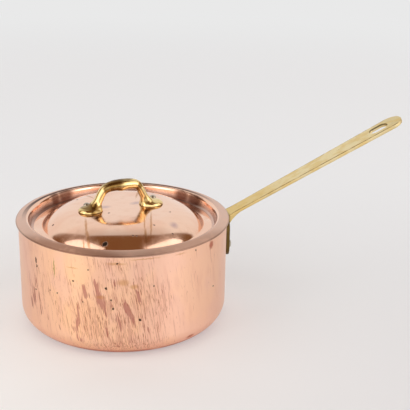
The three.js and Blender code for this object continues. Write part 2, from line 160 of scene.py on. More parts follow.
# Moves every point of a piece by one 3 by 3 turn and one shift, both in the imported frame.
def movePoints(piece, turn, shift):
    shift = Matrix.Translation([length * millimetre for length in shift])
    piece.data.transform(shift @ Matrix(turn).to_4x4())


# Applies a piece's modifiers and leaves one plain mesh.
def applyModifiers(piece):
    graph = bpy.context.evaluated_depsgraph_get()
    mesh = bpy.data.meshes.new_from_object(piece.evaluated_get(graph))
    piece.modifiers.clear()
    piece.data = mesh


# Joins another solid to a piece or cuts it away; the other solid is used up.
def combine(piece, other, operation):
    change = piece.modifiers.new("combine", "BOOLEAN")
    change.operation = operation
    change.solver = "EXACT"
    change.object = other
    applyModifiers(piece)
    bpy.data.objects.remove(other)


# Finishes a piece: its material, smooth shading with sharp edges past an angle and its body, and hides the
# imported node that it stands for.
def fit(piece, body, node, material, sharpAngle=40):
    piece.data.materials.clear()
    piece.data.materials.append(material)
    piece.data.shade_smooth()
    piece.data.set_sharp_from_angle(angle=math.radians(sharpAngle))
    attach(piece, body)
    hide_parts(node)


# Adds one node: its type, its settings, and its inputs by name or number, each a value or a node's output.
def addNode(tree, kind, settings, inputs):
    node = tree.nodes.new(kind)
    for name, value in settings.items():
        setattr(node, name, value)
    for name, value in inputs.items():
        if isinstance(value, bpy.types.NodeSocket):
            tree.links.new(value, node.inputs[name])
        else:
            node.inputs[name].default_value = value
    return node


# The photographed view: about 0.76 m away and 20 degrees above the pan, with a small roll.
cameraView = {"place": (-152.6, -661.0, 335.7), "heading": 18.44, "pitch": 19.76, "roll": 1.23, "lens": 80.06}


def addCamera():
    heading, pitch, roll = (math.radians(cameraView[key]) for key in ("heading", "pitch", "roll"))
    forward = np.array([math.sin(heading) * math.cos(pitch), math.cos(heading) * math.cos(pitch),
                        -math.sin(pitch)])
    level = np.array([math.cos(heading), -math.sin(heading), 0])
    upright = np.cross(level, forward)
    right = math.cos(roll) * level + math.sin(roll) * upright
    up = math.cos(roll) * upright - math.sin(roll) * level
    data = bpy.data.cameras.new("camera")
    data.lens = cameraView["lens"]
    data.sensor_width = 36
    data.clip_start = 0.01
    camera = addObject("camera", data)
    turn = Matrix(np.stack([right, up, -forward], axis=1).tolist()).to_4x4()
    camera.matrix_world = Matrix.Translation([length * millimetre for length in cameraView["place"]]) @ turn
    bpy.context.scene.camera = camera


addCamera()
print("camera placed")


# Where a noise pattern is high, as a mask from 0 to 1. A cell is the pattern's size in millimetres along x, y
# and z, and the mask rises from 0 to 1 between two levels of the noise plus an offset.
def noiseMask(tree, place, cell, low, high, offset=0.0, detail=2.0):
    scaled = addNode(tree, "ShaderNodeVectorMath", {"operation": "MULTIPLY"},
                     {0: place, 1: [1 / (size * millimetre) for size in cell]}).outputs[0]
    noise = addNode(tree, "ShaderNodeTexNoise", {},
                    {"Vector": scaled, "Scale": 1, "Detail": detail}).outputs[0]
    raised = addNode(tree, "ShaderNodeMath", {"operation": "ADD"}, {0: noise, 1: offset}).outputs[0]
    return addNode(tree, "ShaderNodeMapRange", {"interpolation_type": "SMOOTHSTEP"},
                   {"Value": raised, "From Min": low, "From Max": high}).outputs[0]


# A start value times smooth windows: each window is a value and the two levels, counted in a unit, between
# which its share rises from 0 to 1.
def windowMask(tree, windows, start=1.0, unit=1.0):
    mask = start
    for value, low, high in windows:
        window = addNode(tree, "ShaderNodeMapRange", {"interpolation_type": "SMOOTHSTEP"},
                         {"Value": value, "From Min": low * unit, "From Max": high * unit}).outputs[0]
        mask = addNode(tree, "ShaderNodeMath", {"operation": "MULTIPLY"}, {0: window, 1: mask}).outputs[0]
    return mask


# The distance of a place from its z axis.
def awayFromAxis(tree, place):
    flat = addNode(tree, "ShaderNodeVectorMath", {"operation": "MULTIPLY"},
                   {0: place, 1: (1, 1, 0)}).outputs[0]
    return addNode(tree, "ShaderNodeVectorMath", {"operation": "LENGTH"}, {0: flat}).outputs["Value"]


# Spots as one mask: each is an ellipsoid with a centre, three half sizes and a turn about z, in millimetres
# and degrees, that fades out round its edge. Mapping moves each to the origin and its size to 1.
def spotMask(tree, place, spots, softness=0.35):
    mask = 0.0
    for centre, halfSizes, turn in spots:
        local = addNode(tree, "ShaderNodeMapping", {"vector_type": "TEXTURE"}, {
            "Vector": place,
            "Location": [value * millimetre for value in centre],
            "Rotation": (0, 0, math.radians(turn)),
            "Scale": [value * millimetre for value in halfSizes]}).outputs[0]
        away = addNode(tree, "ShaderNodeVectorMath", {"operation": "LENGTH"}, {0: local}).outputs["Value"]
        inside = addNode(tree, "ShaderNodeMapRange", {"interpolation_type": "SMOOTHSTEP"}, {
            "Value": away, "From Min": 1 + softness, "From Max": 1 - softness}).outputs[0]
        mask = addNode(tree, "ShaderNodeMath", {"operation": "MAXIMUM"}, {0: inside, 1: mask}).outputs[0]
    return mask


# A place shifted by a coarse noise, so that outlines drawn from it are ragged: p + (noise - 0.5) * reach.
def raggedPlace(tree, place, cell, reach):
    noise = addNode(tree, "ShaderNodeTexNoise", {}, {"Vector": place, "Scale": 1 / (cell * millimetre),
                                                     "Detail": 3}).outputs["Color"]
    centred = addNode(tree, "ShaderNodeVectorMath", {"operation": "SUBTRACT"}, {0: noise, 1: (0.5, 0.5, 0.5)})
    return addNode(tree, "ShaderNodeVectorMath", {"operation": "MULTIPLY_ADD"}, {
        0: centred.outputs[0], 1: (reach * millimetre,) * 3, 2: place}).outputs[0]


# Colour and roughness in layers on a metal. A layer is a label, a mask, a colour, a roughness, a strength
# and a depth: it covers what is below it by mask times strength, and lifts the relief by mask times depth.
def layeredMetal(name, colour, roughness, makeLayers, spin=0.0, bump=0.0):
    material = bpy.data.materials.new(name)
    material.use_nodes = True
    tree = material.node_tree
    shader = tree.nodes["Principled BSDF"]
    shader.inputs["Metallic"].default_value = 1
    place = addNode(tree, "ShaderNodeTexCoord", {}, {}).outputs["Object"]
    surface, gloss = linearColour(colour), roughness
    relief = 0.5
    for label, mask, above, rough, strength, depth in makeLayers(tree, place):
        cover = addNode(tree, "ShaderNodeMath", {"operation": "MULTIPLY"}, {0: mask, 1: strength}).outputs[0]
        surface = addNode(tree, "ShaderNodeMix", {"data_type": "RGBA", "label": label},
                          {0: cover, 6: surface, 7: linearColour(above)}).outputs[2]
        gloss = addNode(tree, "ShaderNodeMix", {"data_type": "FLOAT", "label": label},
                        {0: cover, 2: gloss, 3: rough}).outputs[0]
        if depth:
            relief = addNode(tree, "ShaderNodeMath", {"operation": "MULTIPLY_ADD"},
                             {0: mask, 1: depth, 2: relief}).outputs[0]
    tree.links.new(surface, shader.inputs["Base Color"])
    tree.links.new(gloss, shader.inputs["Roughness"])
    if bump:
        raised = addNode(tree, "ShaderNodeBump", {},
                         {"Height": relief, "Strength": bump, "Distance": millimetre})
        tree.links.new(raised.outputs[0], shader.inputs["Normal"])
    if spin:
        shader.inputs["Anisotropic"].default_value = spin
        shader.inputs["Anisotropic Rotation"].default_value = 0.25     # a quarter turn: lines run round z
        around = addNode(tree, "ShaderNodeTangent", {"direction_type": "RADIAL", "axis": "Z"}, {})
        tree.links.new(around.outputs[0], shader.inputs["Tangent"])
    return material


# Copper sheet, spun and polished, years in use: bright warm metal whose polishing lines run round it and
# draw reflections out upwards, with pink-purple tarnish where liquid ran down and dried, fine dark hairlines
# in the same direction, a golden tint from the flame and small black pits.
wallLook = {
    "copper": "#FACBAD",
    "golden": "#FCCB98",
    "pink": "#F4C6B3",
    "haze": "#EAB59C",
    "run": "#BE7F70",
    "footTone": "#B0614A",
    "hair": "#A2563F",
    "pit": "#33201A",
    "ochre": "#C98B4C",
    "green": "#97883A",
    "redEdge": "#E29C7C",
    "red": "#B8654C",
    "roughness": 0.41,
    "spin": 0.7,
    "lean": 8.5,            # degrees that the runs lean, top towards the left as seen from outside
    "runWidth": 1.3,
    "runLength": 14,
    "runLift": 0.32,        # how far a full share of runs lifts their noise towards its threshold
    "hairWidth": 0.5,       # real hairlines are finer; drawn as fine as one pixel shows
    "hairLength": 7,
    "hairLift": 0.155,
    "faintLift": 0.13,
    "lowEdge": (13, 3),     # heights between which the wall turns warmer towards its foot
    "darkerFoot": (6.4, 4.2),    # and between which it turns darker, in patches
    "pitDepth": 4,          # half the reach of a spot through the wall
}
# Marks on the wall: azimuth in degrees, height, half width and half height in millimetres.
wallPits = [
    (-155.3, 67.2, 0.9, 2.3), (-154.6, 62.7, 0.7, 1.2), (-156.6, 42.9, 0.7, 0.8), (-129.7, 60.1, 0.7, 0.9),
    (-112.1, 57.3, 0.9, 1.0), (-106.4, 76.6, 0.7, 0.8), (-87.8, 57.7, 0.6, 0.7), (-95.1, 31.7, 1.0, 1.0),
    (-108.8, 41.2, 0.7, 0.9), (-109.7, 48.3, 0.6, 0.7), (-47, 41.5, 1.0, 0.5), (-62.9, 78.5, 0.6, 0.8),
    (-124.4, 44.8, 0.5, 0.6), (-139.8, 47.3, 0.6, 0.8), (-121.2, 70.6, 0.6, 0.6), (-144.6, 47.6, 0.5, 0.5),
    (60, 52, 0.8, 1.1), (87, 66, 0.6, 0.7), (128, 38, 0.8, 0.9), (151, 58, 0.6, 0.8), (38, 27, 0.7, 0.7),
]
wallOchre = [
    (-107, 76.5, 6.0, 1.0), (-103.5, 62, 4, 2.2), (-98, 58.5, 3, 1.6), (-92, 79.5, 10, 0.5),
    (-73, 79, 4, 0.6), (-130, 70.5, 4, 0.5), (-115, 50, 3, 1.4), (75, 60, 9, 1.2), (120, 52, 5, 2.4),
]
wallReds = [(-65, 8, 3.6, 1.7), (-50, 77, 2.6, 3)]
wallGreens = [(-141.2, 66.7, 0.6, 6.5)]
# Runs of tarnish: azimuth, height, half width, half height, strength.
wallRuns = [
    (-159, 44, 2.6, 7, 1), (-158, 34, 3.2, 7, 1), (-154, 40, 2, 9, 0.9), (-163, 48, 2.9, 12, 0.8),
    (-150, 68, 4.3, 9, 0.7), (-124, 57, 2.3, 6, 1.1), (-123, 50, 4.6, 5, 1.2), (-126.5, 41, 2.3, 6, 1.1),
    (-127, 34, 1.7, 6, 0.9), (-116.4, 58, 2.9, 5, 1.1), (-115.6, 51, 3.8, 5, 1.2),
    (-114.6, 44, 4.1, 5, 1.2), (-112.8, 37, 2, 6, 1.1), (-109.5, 48, 2, 9, 1), (-107, 34, 1.9, 8, 1),
    (-102.6, 47, 2.6, 6, 1.1), (-101.4, 40, 3.5, 5, 1.2), (-99, 33, 2.6, 6, 1.2), (-97, 26, 2.9, 5, 1.2),
    (-94, 42, 1.9, 9, 0.9), (-130, 21, 2.6, 6, 1.05), (-121, 26, 2.3, 7, 1), (-140, 21, 3.2, 5, 0.95),
    (-105, 26, 2.6, 7, 1), (-108, 62, 2.6, 6, 1), (-119, 79, 4.3, 2, 1.05), (-116, 74, 2.3, 3, 1),
    (-89, 34, 2, 9, 0.9), (-133, 42, 2, 9, 0.95), (-127, 14, 4.3, 3, 0.95), (-112, 22, 2.3, 7, 0.95),
    (-98, 60, 2, 8, 0.9), (-143, 40, 2.3, 9, 0.75), (-161, 30, 2.6, 8, 1.1), (-157, 52, 2.3, 8, 1.05),
    (-152, 28, 1.9, 7, 1), (-146, 52, 1.9, 7, 1), (-147, 24, 2.3, 5, 1), (-137, 52, 2.2, 5, 1.05),
    (-131.5, 60, 1.9, 5, 1.05), (-128, 28, 2.3, 6, 1.1), (-118, 62, 2, 5, 1.05), (-104, 60, 2, 5, 1),
    (-96, 52, 1.7, 6, 1), (-91, 24, 2, 5, 1), (-84, 44, 1.7, 7, 0.95), (40, 42, 2.9, 9, 1.1),
    (52, 50, 3.5, 6, 1.1), (66, 36, 2.6, 9, 1.1), (74, 58, 3.8, 5, 1.1), (96, 30, 2.9, 7, 1.1),
    (110, 48, 3.8, 7, 1.2), (118, 30, 2.6, 8, 1.1), (139, 44, 2.6, 9, 1.1), (150, 60, 3.2, 5, 1),
    (164, 32, 2.6, 8, 1), (178, 50, 2.9, 7, 1), (22, 26, 2.9, 6, 1), (86, 45, 2.6, 10, 1),
    (58, 28, 2.3, 7, 1),
]
# Where fine hairlines gather: azimuth, height, half width, half height, strength.
wallHairs = [
    (-102, 44, 26, 40, 1), (-86, 46, 14, 34, 0.7), (-118, 30, 16, 26, 0.8), (-133, 38, 15, 32, 0.75),
    (-154, 48, 18, 34, 0.85), (-102, 12, 24, 10, 0.8), (-68, 50, 14, 26, 0.45), (-48, 66, 10, 18, 0.45),
    (-112, 77, 18, 6, 0.7), (60, 44, 26, 36, 0.9), (115, 40, 28, 36, 0.9), (165, 45, 22, 32, 0.7),
    (20, 40, 16, 28, 0.5),
]
wallGoldens = [(-128, 45, 24, 44, 1), (-95, 30, 20, 40, 0.5), (85, 45, 30, 44, 0.8)]


# The sum of bell curves round listed places on the wall: strength * exp(-(s / width)^2 - (t / height)^2),
# with s the arc length off the leaning line through the place and t the height above it.
def wallShare(points, places):
    azimuth, height = np.arctan2(points[:, 1], points[:, 0]), points[:, 2]
    lean = math.tan(math.radians(wallLook["lean"]))
    total = np.zeros(len(points))
    for angle, middle, halfWidth, halfHeight, strength in places:
        aside = (azimuth - math.radians(angle) + np.pi) % (2 * np.pi) - np.pi
        across = panRadius * aside + lean * (height - middle)
        total += strength * np.exp(-(across / halfWidth) ** 2 - ((height - middle) / halfHeight) ** 2)
    return total


# Stores the shares of runs, hairlines and golden tint on every point of the wall.
def paintWall(piece):
    points = meshPoints(piece)
    shares = np.stack([wallShare(points, places) for places in (wallRuns, wallHairs, wallGoldens)], axis=-1)
    layer = piece.data.attributes.new("shares", "FLOAT_VECTOR", "POINT")
    layer.data.foreach_set("vector", shares.ravel())


# Marks given by azimuth and height become spots on the wall: centre, half sizes and turn.
def wallSpots(marks):
    spots = []
    for angle, height, halfWidth, halfHeight in marks:
        turn = math.radians(angle)
        centre = (panRadius * math.cos(turn), panRadius * math.sin(turn), height)
        spots.append((centre, (wallLook["pitDepth"], halfWidth, halfHeight), angle))
    return spots


def wallLayers(tree, place):
    look = wallLook
    shares = addNode(tree, "ShaderNodeAttribute", {"attribute_name": "shares"}, {}).outputs["Vector"]
    shares = addNode(tree, "ShaderNodeSeparateXYZ", {}, {0: shares})
    height = addNode(tree, "ShaderNodeSeparateXYZ", {}, {0: place}).outputs["Z"]
    twist = math.tan(math.radians(look["lean"])) / panRadius / millimetre
    twist = addNode(tree, "ShaderNodeMath", {"operation": "MULTIPLY"}, {0: height, 1: twist}).outputs[0]
    leaning = addNode(tree, "ShaderNodeVectorRotate", {"rotation_type": "Z_AXIS"},
                      {"Vector": place, "Angle": twist}).outputs[0]
    ragged = raggedPlace(tree, place, 1.6, 1.8)
    runLift, hairLift, faintLift = (
        addNode(tree, "ShaderNodeMath", {"operation": "MULTIPLY"},
                {0: shares.outputs[channel], 1: look[lift]}).outputs[0]
        for channel, lift in ((0, "runLift"), (1, "hairLift"), (1, "faintLift")))
    runCell = (look["runWidth"], look["runWidth"], look["runLength"])
    hairCell = (look["hairWidth"], look["hairWidth"], look["hairLength"])
    lowEdge = windowMask(tree, [(height, *look["lowEdge"])], unit=millimetre)
    patches = noiseMask(tree, place, (16, 16, 30), 0.2, 0.5)
    darkerFoot = windowMask(tree, [(height, *look["darkerFoot"])], patches, millimetre)
    satin = look["roughness"]
    return [
        ("golden tint", shares.outputs[2], look["golden"], satin, 0.7, 0),
        ("pink cloud", noiseMask(tree, place, (26, 26, 40), 0.42, 0.6), look["pink"], satin + 0.03, 0.5, 0),
        ("haze", noiseMask(tree, leaning, (5, 5, 22), 0.54, 0.74, faintLift), look["haze"], satin + 0.04,
         0.32, 0),
        ("warm lower edge", lowEdge, look["redEdge"], satin, 0.5, 0),
        # darker in patches towards the foot
        ("darker foot", darkerFoot, look["footTone"], 0.46, 0.75, 0),
        ("faint runs", noiseMask(tree, leaning, (1.2, 1.2, 18), 0.65, 0.75, faintLift, 3), look["run"], 0.48,
         0.38, 0),
        ("runs", noiseMask(tree, leaning, runCell, 0.8, 0.87, runLift, 3), look["run"], 0.48, 0.82, -0.02),
        ("ochre", spotMask(tree, ragged, wallSpots(wallOchre), 0.6), look["ochre"], 0.45, 0.5, 0),
        ("reds", spotMask(tree, ragged, wallSpots(wallReds), 0.5), look["red"], 0.48, 0.85, 0),
        ("hairlines", noiseMask(tree, leaning, hairCell, 0.755, 0.8, hairLift), look["hair"], 0.5,
         0.66, -0.04),
        ("green", spotMask(tree, ragged, wallSpots(wallGreens), 0.4), look["green"], 0.5, 0.7, 0),
        ("pits", spotMask(tree, ragged, wallSpots(wallPits), 0.3), look["pit"], 0.7, 0.92, -0.25),
    ]


# Copper sheet, pressed and buffed bright on the lid's dome; its flange and the ring by the step are left
# satin from the lathe, so they look greyer and soften what they mirror. The flange's front has a painted
# dark reflection, the lip tarnish and painted shade, the bend and the gutter behind painted shade, and the
# step's far corners painted dark reflections.
lidLook = {
    "dome": "#F5CDB4",
    "rosy": "#F0BEA2",
    "satin": "#DDB8A4",
    "ring": "#D3B4A6",
    # painted dark reflection on the flange's front
    "film": "#A97B62",
    # dark of the lip, partly tarnish and partly painted shade; also the painted shade on the bend behind
    "edge": "#4A2E26",
    # painted dark reflection in the step's far corners
    "corner": "#5C2A16",
    # painted shade in the gutter behind
    "gutter": "#6B3A24",
    "drip": "#BC8248",
    "smudge": "#A99096",
    "spot": "#1C110B",
    "domeRoughness": 0.09,
    "satinRoughness": 0.44,
    "spin": 0.8,
    # Rings on the lid: distances in from its lip to the outer and the inner side, and the blur of both.
    "rings": {"flange": (-100, 7.6, 0.3), "step": (10.2, 13.2, 0.3), "lip": (-100, 0.3, 0.25),
              "bend": (4.4, 7.7, 0.3), "gutter": (10.6, 13, 0.4)},
    "behindReach": (0, 50),                     # how far behind the axis the painted shade in two rings sets in
    "filmSides": [(-132, 1), (-68, 0.55)],      # painted dark reflection on the flange's front: degrees from x and amount
    "darkReflectionReach": (66, 79),                      # distances along those headings over which it sets in
    "markHeight": 90,                           # a mark is a spot round this height
    "markReach": 60,
}
# Marks on the lid: x, y, half length, half width and the turn of the length from x, in millimetres and
# degrees.
lidSpots = [
    (-26.0, -51.7, 1.9, 1.6, 0), (-4.7, -51.1, 0.6, 0.6, 0), (-1.9, -52.0, 0.5, 0.5, 0),
    (-13.9, -10.8, 1.1, 0.7, 40), (32.6, -19.6, 0.8, 0.6, 20), (13.9, -41.3, 0.8, 0.8, 0),
    (26.5, -49.2, 0.6, 0.6, 0), (-56.6, -5.6, 0.9, 0.8, 0), (22, 34, 0.8, 0.7, 0), (-31, 29, 0.7, 0.7, 0),
    (44, 12, 0.6, 0.6, 0),
]
lidDrips = [
    (-35.2, -27.4, 9, 0.9, 80), (-36.6, -41.3, 9, 1.1, 87), (8.4, -33.5, 13, 0.6, 77),
    (4.6, -52.4, 7, 0.9, 79), (12.9, -36.5, 18, 0.8, 75), (-40.5, -46, 5, 0.5, 84), (19, 30, 12, 0.8, 70),
    (-22, 36, 10, 0.9, 110),
]
# Painted dark reflections in the far corners of the step: x, y, half length, half width and turn, as above.
lidCornerReflections = [
    (-35, 64.8, 8, 2, 29), (-44.5, 58.6, 5, 2.2, 37), (60.5, 40.8, 7, 1.8, 124), (67.6, 27.3, 9, 2, 112),
]
lidSmudges = [(-14, 3.2, 3.4, 2.4, 0), (11.7, 6.0, 4, 2.6, 20), (30, -40, 3, 2.4, 60)]


# Marks given on the lid's plan become spots that reach through its whole height.
def lidMarks(marks):
    return [((x, y, lidLook["markHeight"]), (length, width, lidLook["markReach"]), turn)
            for x, y, length, width, turn in marks]


def lidLayers(tree, place):
    look = lidLook
    lip = panRadius + lidSizes["overhang"]
    radius = awayFromAxis(tree, place)
    flange, step, edge, bend, gutter = (
        windowMask(tree, [(radius, lip - inner - blur, lip - inner + blur),
                          (radius, lip - outer + blur, lip - outer - blur)], unit=millimetre)
        for outer, inner, blur in look["rings"].values())
    ragged = raggedPlace(tree, place, 3, 1.6)
    depth = addNode(tree, "ShaderNodeSeparateXYZ", {}, {0: place}).outputs["Y"]
    bendShadeBehind, gutterShadeBehind = (windowMask(tree, [(depth, *look["behindReach"])], ring, millimetre)
                                for ring in (bend, gutter))
    # The front of the flange is darkened by a painted dark reflection of the room.
    film = 0.0
    for heading, amount in look["filmSides"]:
        side = math.radians(heading)
        along = addNode(tree, "ShaderNodeVectorMath", {"operation": "DOT_PRODUCT"},
                        {0: place, 1: (math.cos(side), math.sin(side), 0)}).outputs["Value"]
        along = windowMask(tree, [(along, *look["darkReflectionReach"])], amount, millimetre)
        film = addNode(tree, "ShaderNodeMath", {"operation": "MAXIMUM"}, {0: along, 1: film}).outputs[0]
    film = addNode(tree, "ShaderNodeMath", {"operation": "MULTIPLY"}, {0: film, 1: flange}).outputs[0]
    buffed, satin = look["domeRoughness"], look["satinRoughness"]
    return [
        ("rosy cloud", noiseMask(tree, place, (34, 22, 60), 0.4, 0.62), look["rosy"], buffed + 0.03, 0.6, 0),
        ("wipes", noiseMask(tree, place, (26, 3.2, 60), 0.5, 0.75), look["rosy"], buffed + 0.03, 0.22, 0),
        ("drips", spotMask(tree, ragged, lidMarks(lidDrips), 0.6), look["drip"], 0.2, 0.7, 0),
        ("smudges", spotMask(tree, ragged, lidMarks(lidSmudges), 0.9), look["smudge"], 0.24, 0.6, 0),
        ("satin flange", flange, look["satin"], satin, 1, 0),
        ("satin ring", step, look["ring"], satin - 0.08, 0.9, 0),
        ("painted dark reflection on the flange", film, look["film"], satin, 0.85, 0),
        ("flange haze", noiseMask(tree, place, (7, 7, 7), 0.5, 0.72), look["rosy"], satin, 0.25, 0),
        # The lip is darker: partly tarnish, partly painted shade under the flange's edge.
        ("dark lip, tarnish and painted shade", edge, look["edge"], 0.5, 0.3, 0),
        # Painted shade on the bend and in the gutter behind the axis.
        ("painted shade on the bend behind", bendShadeBehind, look["edge"], 0.5, 0.9, 0),
        ("painted shade in the gutter behind", gutterShadeBehind, look["gutter"], 0.4, 0.85, 0),
        # Painted dark reflections in the far corners of the step.
        ("painted dark reflection in the far corners", spotMask(tree, ragged, lidMarks(lidCornerReflections), 0.5), look["corner"], 0.3,
         0.82, 0),
        ("spots", spotMask(tree, ragged, lidMarks(lidSpots), 0.3), look["spot"], 0.75, 0.95, -0.2),
    ]


# Tinned lining: pale grey metal, wiped satin, with faint rings from scouring and dull grey patches.
liningLook = {"tin": "#CBC8C2", "dull": "#A9A59E", "warm": "#BFB2A2", "roughness": 0.36, "spin": 0.6}


def liningLayers(tree, place):
    look = liningLook
    return [
        ("dull patches", noiseMask(tree, place, (18, 18, 14), 0.45, 0.65), look["dull"], 0.46, 0.7, 0),
        ("warm stains", noiseMask(tree, place, (30, 30, 8), 0.56, 0.7), look["warm"], 0.42, 0.6, 0),
        ("scour rings", noiseMask(tree, place, (60, 60, 1.1), 0.52, 0.62), look["dull"], 0.42, 0.4, 0),
    ]


# Brass, sand cast and filed, satin from handling: pale gold with small dark casting pores, browner where
# fingers and flame reach, with painted shade on the plate and in the slot.
strapLook = {
    "brass": "#EAD8A8",
    "golden": "#DFBE72",
    "brown": "#C6AE76",
    "pore": "#7A6136",
    # painted shade on the plate and in the slot
    "dark": "#4C3A1B",
    "roughness": 0.34,
    "handledEnd": (34, 6),      # distances from the strap's end over which handling turns it brown
    "goldenRoot": (70, 4),      # distances from the wall over which it turns golden
    "plateFace": (6.5, 3.6),    # distances from the wall over which the painted shade on the plate begins
}


# Painted shade in the slot and grime by the edges are placed in the strap's own frame, in which a place is
# counted from the slot's middle in half lengths and half widths of the slot and half thicknesses of the strap.
# Side is how far, in millimetres, a place lies past the strap's long edge.
def strapLayers(tree, place):
    look, sizes = strapLook, handleSizes
    root, rootHeight = strapRoot()
    tilt = math.radians(sizes["tilt"])
    end = root + sizes["length"] * math.cos(tilt)
    outward = addNode(tree, "ShaderNodeSeparateXYZ", {}, {0: place}).outputs["X"]
    handled, golden, plate = (
        windowMask(tree, [(outward, origin + side * low, origin + side * high)], unit=millimetre)
        for origin, side, (low, high) in ((end, -1, look["handledEnd"]), (root, 1, look["goldenRoot"]),
                                          (root, 1, look["plateFace"])))
    middle = sizes["length"] - sizes["slotToTip"]
    halfSizes = (sizes["slotLength"] / 2, sizes["slotWidth"] / 2, sizes["endThickness"] / 2)
    local = addNode(tree, "ShaderNodeMapping", {"vector_type": "TEXTURE"}, {
        "Vector": place,
        "Location": [(root + middle * math.cos(tilt) + halfSizes[2] * math.sin(tilt)) * millimetre, 0,
                     (rootHeight + middle * math.sin(tilt) - halfSizes[2] * math.cos(tilt)) * millimetre],
        "Rotation": (0, -tilt, 0),
        "Scale": [size * millimetre for size in halfSizes]}).outputs[0]
    away = awayFromAxis(tree, local)
    axes = addNode(tree, "ShaderNodeSeparateXYZ", {}, {0: local})
    level = axes.outputs["Z"]
    widening = (sizes["endWidth"] - sizes["rootWidth"]) / 2 / (sizes["length"] - sizes["tipLength"])
    side = addNode(tree, "ShaderNodeMath", {"operation": "ABSOLUTE"}, {0: axes.outputs["Y"]}).outputs[0]
    side = addNode(tree, "ShaderNodeMath", {"operation": "MULTIPLY_ADD"},
                   {0: side, 1: halfSizes[1], 2: -sizes["rootWidth"] / 2 - widening * middle}).outputs[0]
    side = addNode(tree, "ShaderNodeMath", {"operation": "MULTIPLY_ADD"},
                   {0: axes.outputs["X"], 1: -widening * halfSizes[0], 2: side}).outputs[0]
    # painted shade on the slot's inner wall
    slotShade = windowMask(tree, [(away, 1.5, 1.3), (level, 0.1, 0.4), (level, 1.0, 0.9)])
    edgeGrime = windowMask(tree, [(side, -1.15, -0.85), (side, -0.2, -0.5), (level, 0.5, 0.8)],
                           noiseMask(tree, place, (7, 3, 3), 0.38, 0.56))
    satin = look["roughness"]
    return [
        ("golden near the pan", golden, look["golden"], satin, 0.75, 0),
        ("handled end", handled, look["brown"], satin + 0.04, 0.4, 0),
        ("cloudy wear", noiseMask(tree, place, (14, 6, 8), 0.42, 0.66), look["golden"], satin + 0.06, 0.6, 0),
        ("file marks", noiseMask(tree, place, (9, 0.5, 4), 0.5, 0.75), look["brown"], satin + 0.1,
         0.35, -0.02),
        ("casting pores", noiseMask(tree, place, (1.1, 0.9, 0.9), 0.7, 0.76), look["pore"], 0.6, 0.8, -0.12),
        # The plate is darkened with painted shade.
        ("painted shade on the plate", plate, look["dark"], 0.42, 0.9, 0),
        ("painted shade in the slot", slotShade, look["dark"], 0.5, 0.8, 0),
        ("grime by the edges", edgeGrime, look["pore"], 0.5, 0.75, 0),
    ]


# Brass, cast and buffed to a mirror: deep gold with soft brown tarnish in small patches, with painted dark
# reflections and painted shade in brown on its bar, legs and feet, and a painted dark reflection along its top.
loopLook = {
    "brass": "#E9CC8E",
    # tarnish colour, also used for the painted dark reflections and shade on the loop
    "tarnish": "#755019",
    # painted dark reflection along the top of the bar
    "dull": "#5A3E18",
    "wiped": "#F0D9A0",
    "roughness": 0.13,
}
# Painted dark reflections, and painted shade along the feet's lower rims, in the loop's own frame from the
# middle of its feet: x, y, height and half sizes.
loopShadeSpots = [
    (-6, 0, 20, 7.5, 8, 7), (-25, 0.5, 4, 10, 9.5, 2), (-22.5, -8.5, 0.8, 4.6, 4, 3),
    (-13.8, 0.5, 5, 3, 6, 6), (-12.5, -2, 17.2, 2.6, 7, 4.6), (13.4, 1.5, 6, 2.4, 5, 6),
    (11.6, 1, 13.5, 2.8, 5, 5), (-25.7, 0, -1.6, 12, 12, 2.6), (25.7, 0, -1.6, 12, 12, 2.6),
    (18.9, -5, 5.2, 1.7, 5, 3.6), (-22.2, -4, 4.3, 2.3, 6, 2.6), (14.5, -3, 17.3, 2, 6, 2.6),
]
# Painted dark reflection along the top of the bar: x, y, height and half sizes.
loopTopReflection = [(0, 0, 30, 30, 12, 8.1)]


def loopLayers(tree, place):
    look = loopLook
    turn = math.radians(loopSizes["turn"])
    masks = []
    # Two masks: painted dark reflections and shade, then the painted dark reflection along the top.
    for places, reach, softness in ((loopShadeSpots, 1.2, 0.25), (loopTopReflection, 0.3, 0.03)):
        spots = []
        for x, y, height, *halfSizes in places:
            x = x + loopSizes["offset"]
            centre = (x * math.cos(turn) - y * math.sin(turn), x * math.sin(turn) + y * math.cos(turn),
                      crownHeight() + height)
            spots.append((centre, halfSizes, loopSizes["turn"]))
        masks.append(spotMask(tree, raggedPlace(tree, place, 4, reach), spots, softness))
    return [
        ("painted dark reflections and shade", masks[0], look["tarnish"], 0.27, 0.9, 0),
        ("painted dark reflection on the top", masks[1], look["dull"], 0.4, 0.7, 0),
        ("wiped", noiseMask(tree, place, (9, 9, 6), 0.5, 0.7), look["wiped"], look["roughness"] + 0.03,
         0.3, 0),
        ("tarnish", noiseMask(tree, place, (3.4, 3.4, 2.6), 0.6, 0.8), look["tarnish"], 0.3, 0.5, 0),
        ("pores", noiseMask(tree, place, (0.9, 0.9, 0.9), 0.72, 0.78), look["tarnish"], 0.5, 0.8, -0.1),
    ]


# Rivet heads, hammered over and worn: dull grey-brown metal with scratches and dark dirt round the foot.
rivetLook = {"metal": "#BDB3A2", "dark": "#54463A", "scratch": "#D8CFBC", "roughness": 0.26}


def rivetLayers(tree, place):
    look = rivetLook
    return [
        ("dirt", noiseMask(tree, place, (1.8, 1.8, 1.8), 0.56, 0.72), look["dark"], 0.5, 0.6, -0.1),
        ("scratches", noiseMask(tree, place, (3, 0.5, 0.5), 0.58, 0.7), look["scratch"], 0.24, 0.5, 0),
    ]


liningTin = layeredMetal("tin lining, scoured satin", liningLook["tin"], liningLook["roughness"],
                         liningLayers, liningLook["spin"])
print("materials ready")


panSizes = {
    "cornerRadius": 15,
    "copper": 2,
    "rimRound": 0.5,
    "lining": 0.3,
    "bondGap": 0.05,
    "liningSetback": 1,
    "segments": 512,
    "sideRows": 64,
}


